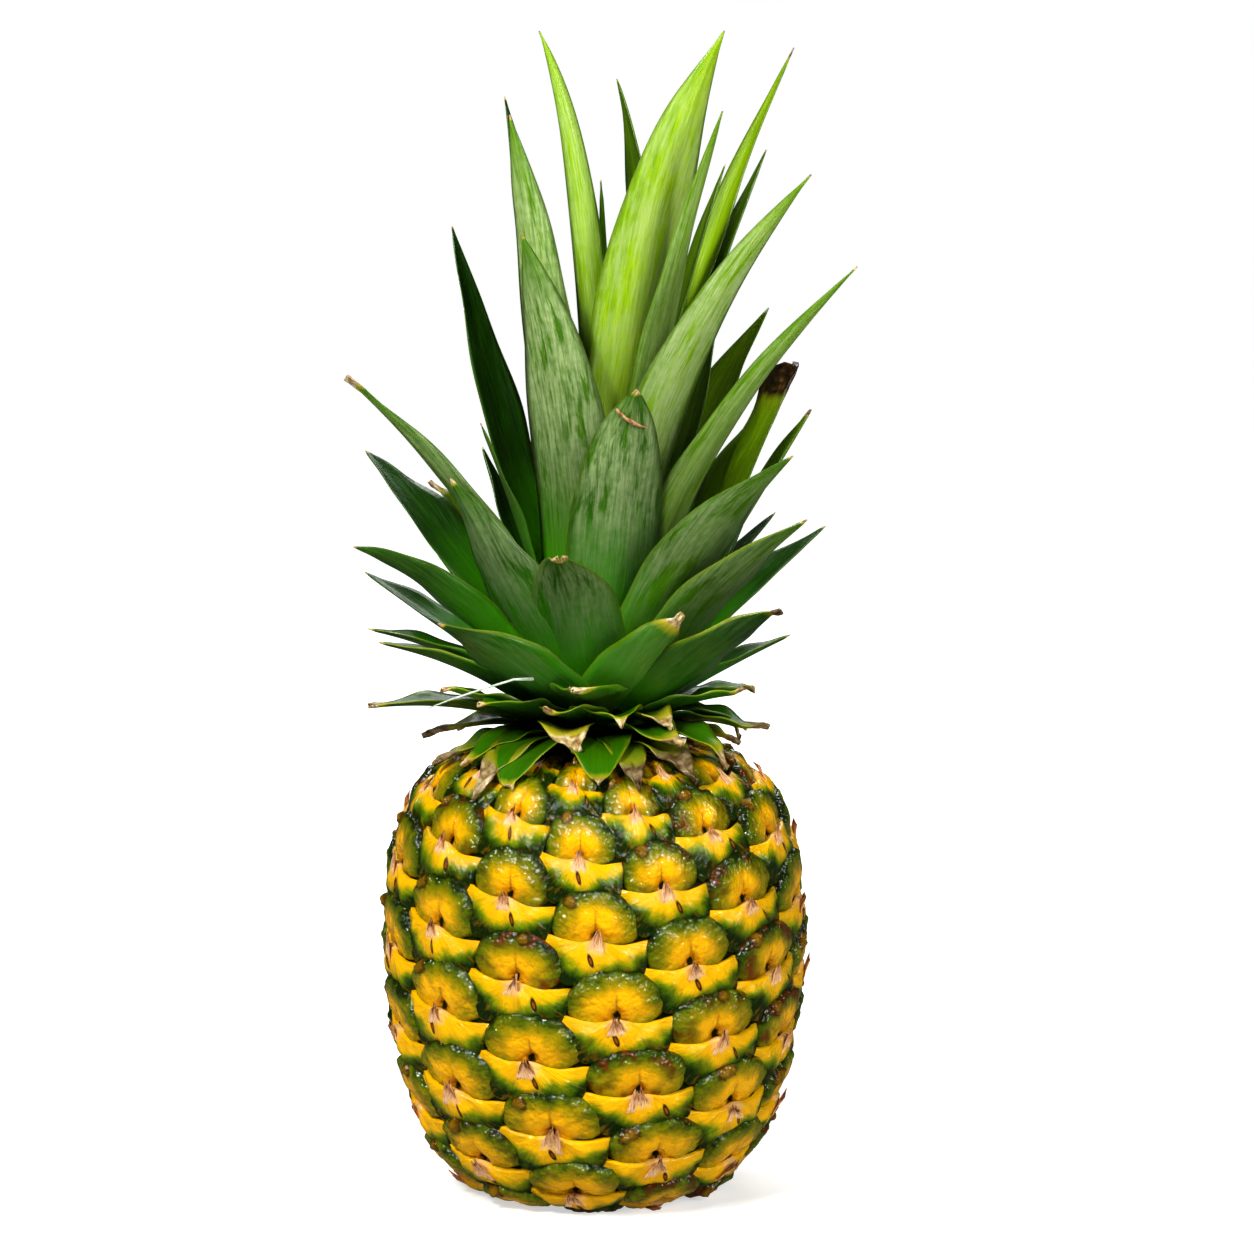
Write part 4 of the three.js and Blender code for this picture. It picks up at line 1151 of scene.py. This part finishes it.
def stem_points():
    """The short stem as a tube, with the same values as a leaf's foot."""
    rings = [(max(radius, 0.3), FRUIT_HEIGHT + STEM_GAP + above) for above, radius in STEM]
    angle = np.linspace(0, 2 * math.pi, STEM_SIDES, endpoint=False)
    points = [(r * math.cos(a), r * math.sin(a), z) for r, z in rings for a in angle]
    count = len(points)
    place = np.tile([0.0, 0.1, 60.0], (count, 1))
    kind = np.tile([0.1, 0.0, 0.01], (count, 1))
    return np.array(points), place, kind, np.ones(count), np.tile([0.5, 0.0, 0.0], (count, 1))


def faced_outwards(piece):
    """Turns the faces of closed shells outwards."""
    shell = bmesh.new()
    shell.from_mesh(piece.data)
    bmesh.ops.recalc_face_normals(shell, faces=shell.faces)
    shell.to_mesh(piece.data)
    shell.free()
    piece.data.shade_smooth()
    return piece


def crown_piece():
    """All leaves and the stem as one mesh."""
    blade_faces = tube_faces(LEAF_SECTIONS, 2 * LEAF_ACROSS - 2)
    parts = [(leaf_points(leaf, np.random.default_rng(LEAF_SEED + number)), blade_faces)
             for number, leaf in enumerate(leaves)]
    parts.append((stem_points(), tube_faces(len(STEM), STEM_SIDES)))
    faces, start = [], 0
    for (points, *_), own_faces in parts:
        faces += [[corner + start for corner in face] for face in own_faces]
        start += len(points)
    points, place, kind, face, own = (np.concatenate(column) for column in zip(*(p[0] for p in parts)))
    values = {"leaf_place": place, "leaf_kind": kind, "leaf_face": face, "leaf_own": own}
    piece = mesh_object("crown_leaves", points, faces, values)
    return faced_outwards(piece)


crown_leaves = crown_piece()
print("crown:", len(crown_leaves.data.polygons), "faces")

# %% [markdown]
# A crown leaf is stiff and fibrous. Its outer face carries a dusty white bloom that rubs off in
# streaks, its inner face is dark and glossy, and fine lines run along both. The youngest leaves in
# the middle are yellow-green. Tips dry out to straw and then brown. The leaf carries its own
# coordinates, across and along, so that every line and stain follows the blade.

# %% Leaf material


# Stiff leaf with a grown wax: matt and whitish outside, glossy inside, yellow hems and dead tips. Blades
# and bloom are lighter high in the crown and darker low down, partly the younger leaves' own colour and
# partly painted light and shade, and the collar leaves are darkened low down as painted shade. The real
# fibres are about 0.2 mm apart. The lines are drawn two to five times as far apart, so they show.
def leaf_skin():
    material, shader, node = new_material("waxy fibrous leaf", {
        "IOR": 1.45, "Specular IOR Level": 0.3,
        "Coat Weight": 0.3, "Coat IOR": 1.45, "Coat Roughness": 0.12})
    place = node(STORED, attribute_name="leaf_place").outputs["Vector"]
    kind = node(STORED, attribute_name="leaf_kind").outputs["Vector"]
    face = node(STORED, attribute_name="leaf_face").outputs["Fac"]
    own = node(STORED, attribute_name="leaf_own").outputs["Vector"]
    own, scorch, hem_and_shade_share = node(SPLIT, own).outputs
    across, along, length = node(SPLIT, place).outputs
    youth, bloom, dry = node(SPLIT, kind).outputs
    object_place = node("ShaderNodeTexCoord").outputs["Object"]

    run = node(TIMES, along, length)
    seed = node(TIMES, own, 40.0)
    narrowing = node(RANGE, along, 0.5, 1.0, 6.5, 1.0)
    line_place = node(JOIN, node(TIMES, across, narrowing), node(TIMES, run, 0.03), seed)
    lines = node(NOISE, line_place, 2.6, 5, 0.7)
    rub_place = node(JOIN, node(TIMES, across, 2.2), node(TIMES, run, 0.035), seed)
    rub = node(NOISE, rub_place, 1.5, 5, 0.62)
    scuffs = node(NOISE, object_place, 420, 4)

    # Painted light and shade: blades lighter high in the crown, darker low, partly younger leaves' own
    # green.
    height = node(SPLIT, object_place).outputs[2]
    high = node(RANGE, height, 0.16, 0.27)
    low_old_and_shaded_tone = node(RAMP, lines, stops=[(0.3, "#103200"), (0.5, "#1d4a00"), (0.7, "#306602")])
    high_young_and_lit_tone = node(RAMP, lines, stops=[(0.3, "#336600"), (0.5, "#4e8400"), (0.7, "#6ea008")])
    outer = node(BLEND, high, low_old_and_shaded_tone, high_young_and_lit_tone)
    inner = node(RAMP, lines, stops=[(0.3, "#0c2800"), (0.5, "#184000"), (0.7, "#2e6400")])
    green = node(BLEND, face, outer, inner)
    foot = node(RANGE, run, 14.0, 48.0, 0.85, 0.0)
    fresh = node(BLEND, foot, green, "#4fae00")
    # Painted shade: collar leaves darken from their middle down to their feet, under the leaves above.
    shaded = node(TIMES, node(RANGE, along, 0.45, 1.0, 0.85, 0.1), hem_and_shade_share)
    # Painted shade: blades deep and low in the collar, near the stem, darkened where upper leaves shade
    # them.
    place_x, place_y, place_z = node(SPLIT, object_place).outputs
    from_axis = node(VECTOR, node(JOIN, place_x, place_y), operation="LENGTH")
    inner_collar = node(RANGE, from_axis, 0.028, 0.046, 1.0, 0.0)
    low_collar = node(RANGE, place_z, 0.139, 0.158, 0.9, 0.0)
    painted_collar_shade = node(TIMES, inner_collar, low_collar)
    shaded = node(MATH, shaded, painted_collar_shade, operation="MAXIMUM")
    fresh = node(BLEND, shaded, fresh, "#0a2200")
    far = node(MATH, across, operation="ABSOLUTE")
    middle = node(RANGE, far, 0.35, 1.0, 1.0, 0.45)
    young = node(TIMES, middle, youth)
    young_tone = node(RAMP, lines, stops=[(0.3, "#8cb800"), (0.5, "#a8d000"), (0.7, "#c2e020")])
    yellowed = node(BLEND, young, fresh, young_tone)

    dust = node(RANGE, rub, 0.38, 0.47, 0.05, 1.0)
    scratch_place = node(JOIN, node(TIMES, across, 5.0), node(TIMES, run, 0.05), seed)
    scratches = node(NOISE, scratch_place, 1.6, 3)
    scratched = node(RANGE, scratches, 0.58, 0.68, 1.0, 0.35)
    combed = node(RANGE, lines, 0.38, 0.58, 0.45, 1.05)
    outside = node(MINUS, 1.0, face)
    worn = node(RANGE, scuffs, 0.35, 0.6, 0.6, 0.95)
    off_foot = node(RANGE, along, 0.18, 0.45)
    off_tip = node(RANGE, along, 0.78, 0.96, 1.0, 0.12)
    for share in (scratched, combed, bloom, outside, worn, off_foot, off_tip):
        dust = node(TIMES, dust, share)
    # Painted light and shade: the bloom pale and bright high in the crown, greyer and darker low down.
    bloom_lit_and_shaded_tone = node(BLEND, high, "#6c8254", "#c2d496")
    dusty = node(BLEND, dust, yellowed, bloom_lit_and_shaded_tone)

    hem = node(RANGE, far, 0.92, 1.0, 0.0, 0.5)
    hemmed = node(BLEND, hem, dusty, "#7fa028")
    wide_hem = node(RANGE, far, 0.84, 0.98, 0.0, 0.9)
    wide_hem = node(TIMES, wide_hem, hem_and_shade_share)
    wide_hem = node(TIMES, wide_hem, node(RANGE, along, 0.4, 0.8))
    hemmed = node(BLEND, wide_hem, hemmed, "#b3b80c")

    ragged = node(TIMES, node(TIMES_PLUS, rub, 0.5, -0.25), dry)
    reach = node(TIMES_PLUS, dry, 1.0, ragged)
    to_tip = node(MINUS, 1.0, along)
    dried = node(MATH, to_tip, reach, operation="DIVIDE")
    yellow_end = node(TIMES_PLUS, hem_and_shade_share, 0.5, 1.6)
    yellow = node(RANGE, dried, 1.0, yellow_end, 0.9, 0.0)
    unscorched = node(RANGE, scorch, 0.0, 1.0, 1.0, 0.2)
    yellow = node(TIMES, yellow, unscorched)
    straw = node(BLEND, yellow, hemmed, "#cdbb2e")
    dead = node(RANGE, dried, 0.85, 1.1, 1.0, 0.0)
    dead_tone = node(RAMP, scuffs, stops=[(0.35, "#8a6534"), (0.5, "#cdb07a"), (0.65, "#efe0b4")])
    char_tone = node(RAMP, scuffs, stops=[(0.35, "#150c05"), (0.55, "#3a2410"), (0.75, "#7c5a30")])
    dead_tone = node(BLEND, scorch, dead_tone, char_tone)
    ended = node(BLEND, dead, straw, dead_tone)

    gloss = node(RANGE, dust, 0.0, 0.8, 0.28, 0.5)
    relief = node(TIMES_PLUS, scuffs, 0.25, lines)
    bump = node("ShaderNodeBump", {"Strength": 0.6, "Distance": 0.5 * MM, "Height": relief})
    dress(shader, {"Base Color": ended, "Roughness": gloss, "Normal": bump})
    return material


crown_leaves.data.materials.append(leaf_skin())
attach(crown_leaves, "root")
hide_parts("crown")

# %% [markdown]
# Two dry fibres are left on the leaves: one torn across the tip of the broad front leaf, and a white
# one that stands off a collar leaf at the left. They are thin tubes that start on a leaf's face.

# %% Dry fibres
TORN_LEAF = 16
TORN_PATH = [(0.875, -1.0), (0.86, -0.75), (0.835, -0.3), (0.82, 0.0), (0.8, 0.35), (0.785, 0.7)]
LOOSE_LEAF = 36
LOOSE_START = (0.43, 0.2)
LOOSE_PATH = [(-22, -32.5, 150.4), (-31, -34, 147.8), (-39, -34.5, 145.2), (-45.5, -34, 142.6)]
FIBRE_SIDES = 6
TORN_RADII = [0.3, 0.55, 0.45, 0.7, 0.4, 0.2]
LOOSE_RADII = [0.55, 0.35, 0.32, 0.28, 0.18]
TORN_LIFT = 0.5


def on_leaf(leaf, t, across, lift):
    """A point a little above the outer face of a leaf."""
    middle, side, back = (row[0] for row in leaf_frame(leaf, np.array([t])))
    half = leaf["width"] * width_share(t, leaf["tip"]) / 2
    depth = BLADE_THICKNESS * 0.6 - abs(across) ** CHANNEL_POWER * half * leaf["channel"]
    return middle + side * across * half + back * (depth + lift)


def fibre(name, path, radii):
    """A thin tube along a path, thinner or thicker at each of its points."""
    path = np.array(path, float)
    along = np.gradient(path, axis=0)
    along /= np.linalg.norm(along, axis=1)[:, None]
    first = np.cross(along, [0.2, 0.1, 1.0])
    first /= np.linalg.norm(first, axis=1)[:, None]
    second = np.cross(along, first)
    angle = np.linspace(0, 2 * math.pi, FIBRE_SIDES, endpoint=False)
    ring = np.cos(angle)[None, :, None] * first[:, None] + np.sin(angle)[None, :, None] * second[:, None]
    points = path[:, None] + ring * np.array(radii)[:, None, None]
    piece = mesh_object(name, points.reshape(-1, 3), tube_faces(len(path), FIBRE_SIDES), {})
    return faced_outwards(piece)


torn_leaf, loose_leaf = leaves[TORN_LEAF], leaves[LOOSE_LEAF]
torn_fibre = fibre("torn_fibre", [on_leaf(torn_leaf, *spot, TORN_LIFT) for spot in TORN_PATH], TORN_RADII)
loose_fibre = fibre("loose_fibre", [on_leaf(loose_leaf, *LOOSE_START, 0.0)] + LOOSE_PATH, LOOSE_RADII)


# Torn-off leaf fibre, dried in the air: matt, with stains of about 2 mm.
def dry_fibre(name, light, dark):
    material, shader, node = new_material(name, {"Roughness": 0.7})
    stain = node(NOISE, node("ShaderNodeTexCoord").outputs["Object"], 450, 3)
    dress(shader, {"Base Color": node(RAMP, stain, stops=[(0.4, light), (0.65, dark)])})
    return material


torn_fibre.data.materials.append(dry_fibre("dry torn leaf fibre", "#d8ad78", "#7c4a26"))
loose_fibre.data.materials.append(dry_fibre("bleached leaf fibre", "#e6ece0", "#b7c6ae"))
for piece in (torn_fibre, loose_fibre):
    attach(piece, "root")
    print(piece.name, len(piece.data.polygons), "faces")

# %% [markdown]
# The stalk was cut flush with the foot. The cut end is dry, with the ends of its fibres showing. The
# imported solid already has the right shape, a short round peg, so it stays and only gets a finish.

# %% Cut stalk


# Woody stalk, cut with a knife and dried: matt tan, with the ends of its fibre bundles as cells. 700
# cells a metre make them 1.4 mm, about twice the real ones, so that they show.
def cut_fibres():
    material, shader, node = new_material("dry cut stalk fibre", {"Roughness": 0.85})
    place = node("ShaderNodeTexCoord").outputs["Object"]
    ends = node("ShaderNodeTexVoronoi", place, 700)
    stain = node(NOISE, place, 160, 3)
    mixed = node(TIMES_PLUS, ends, 0.5, stain)
    base = node(RAMP, mixed, stops=[(0.35, "#d9c08a"), (0.6, "#a98a55"), (0.9, "#5f4526")])
    bump = node("ShaderNodeBump", {"Strength": 0.7, "Distance": 0.5 * MM, "Height": mixed})
    dress(shader, {"Base Color": base, "Normal": bump})
    return material


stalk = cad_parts["stalk"]
stalk.data.materials.clear()
stalk.data.materials.append(cut_fibres())
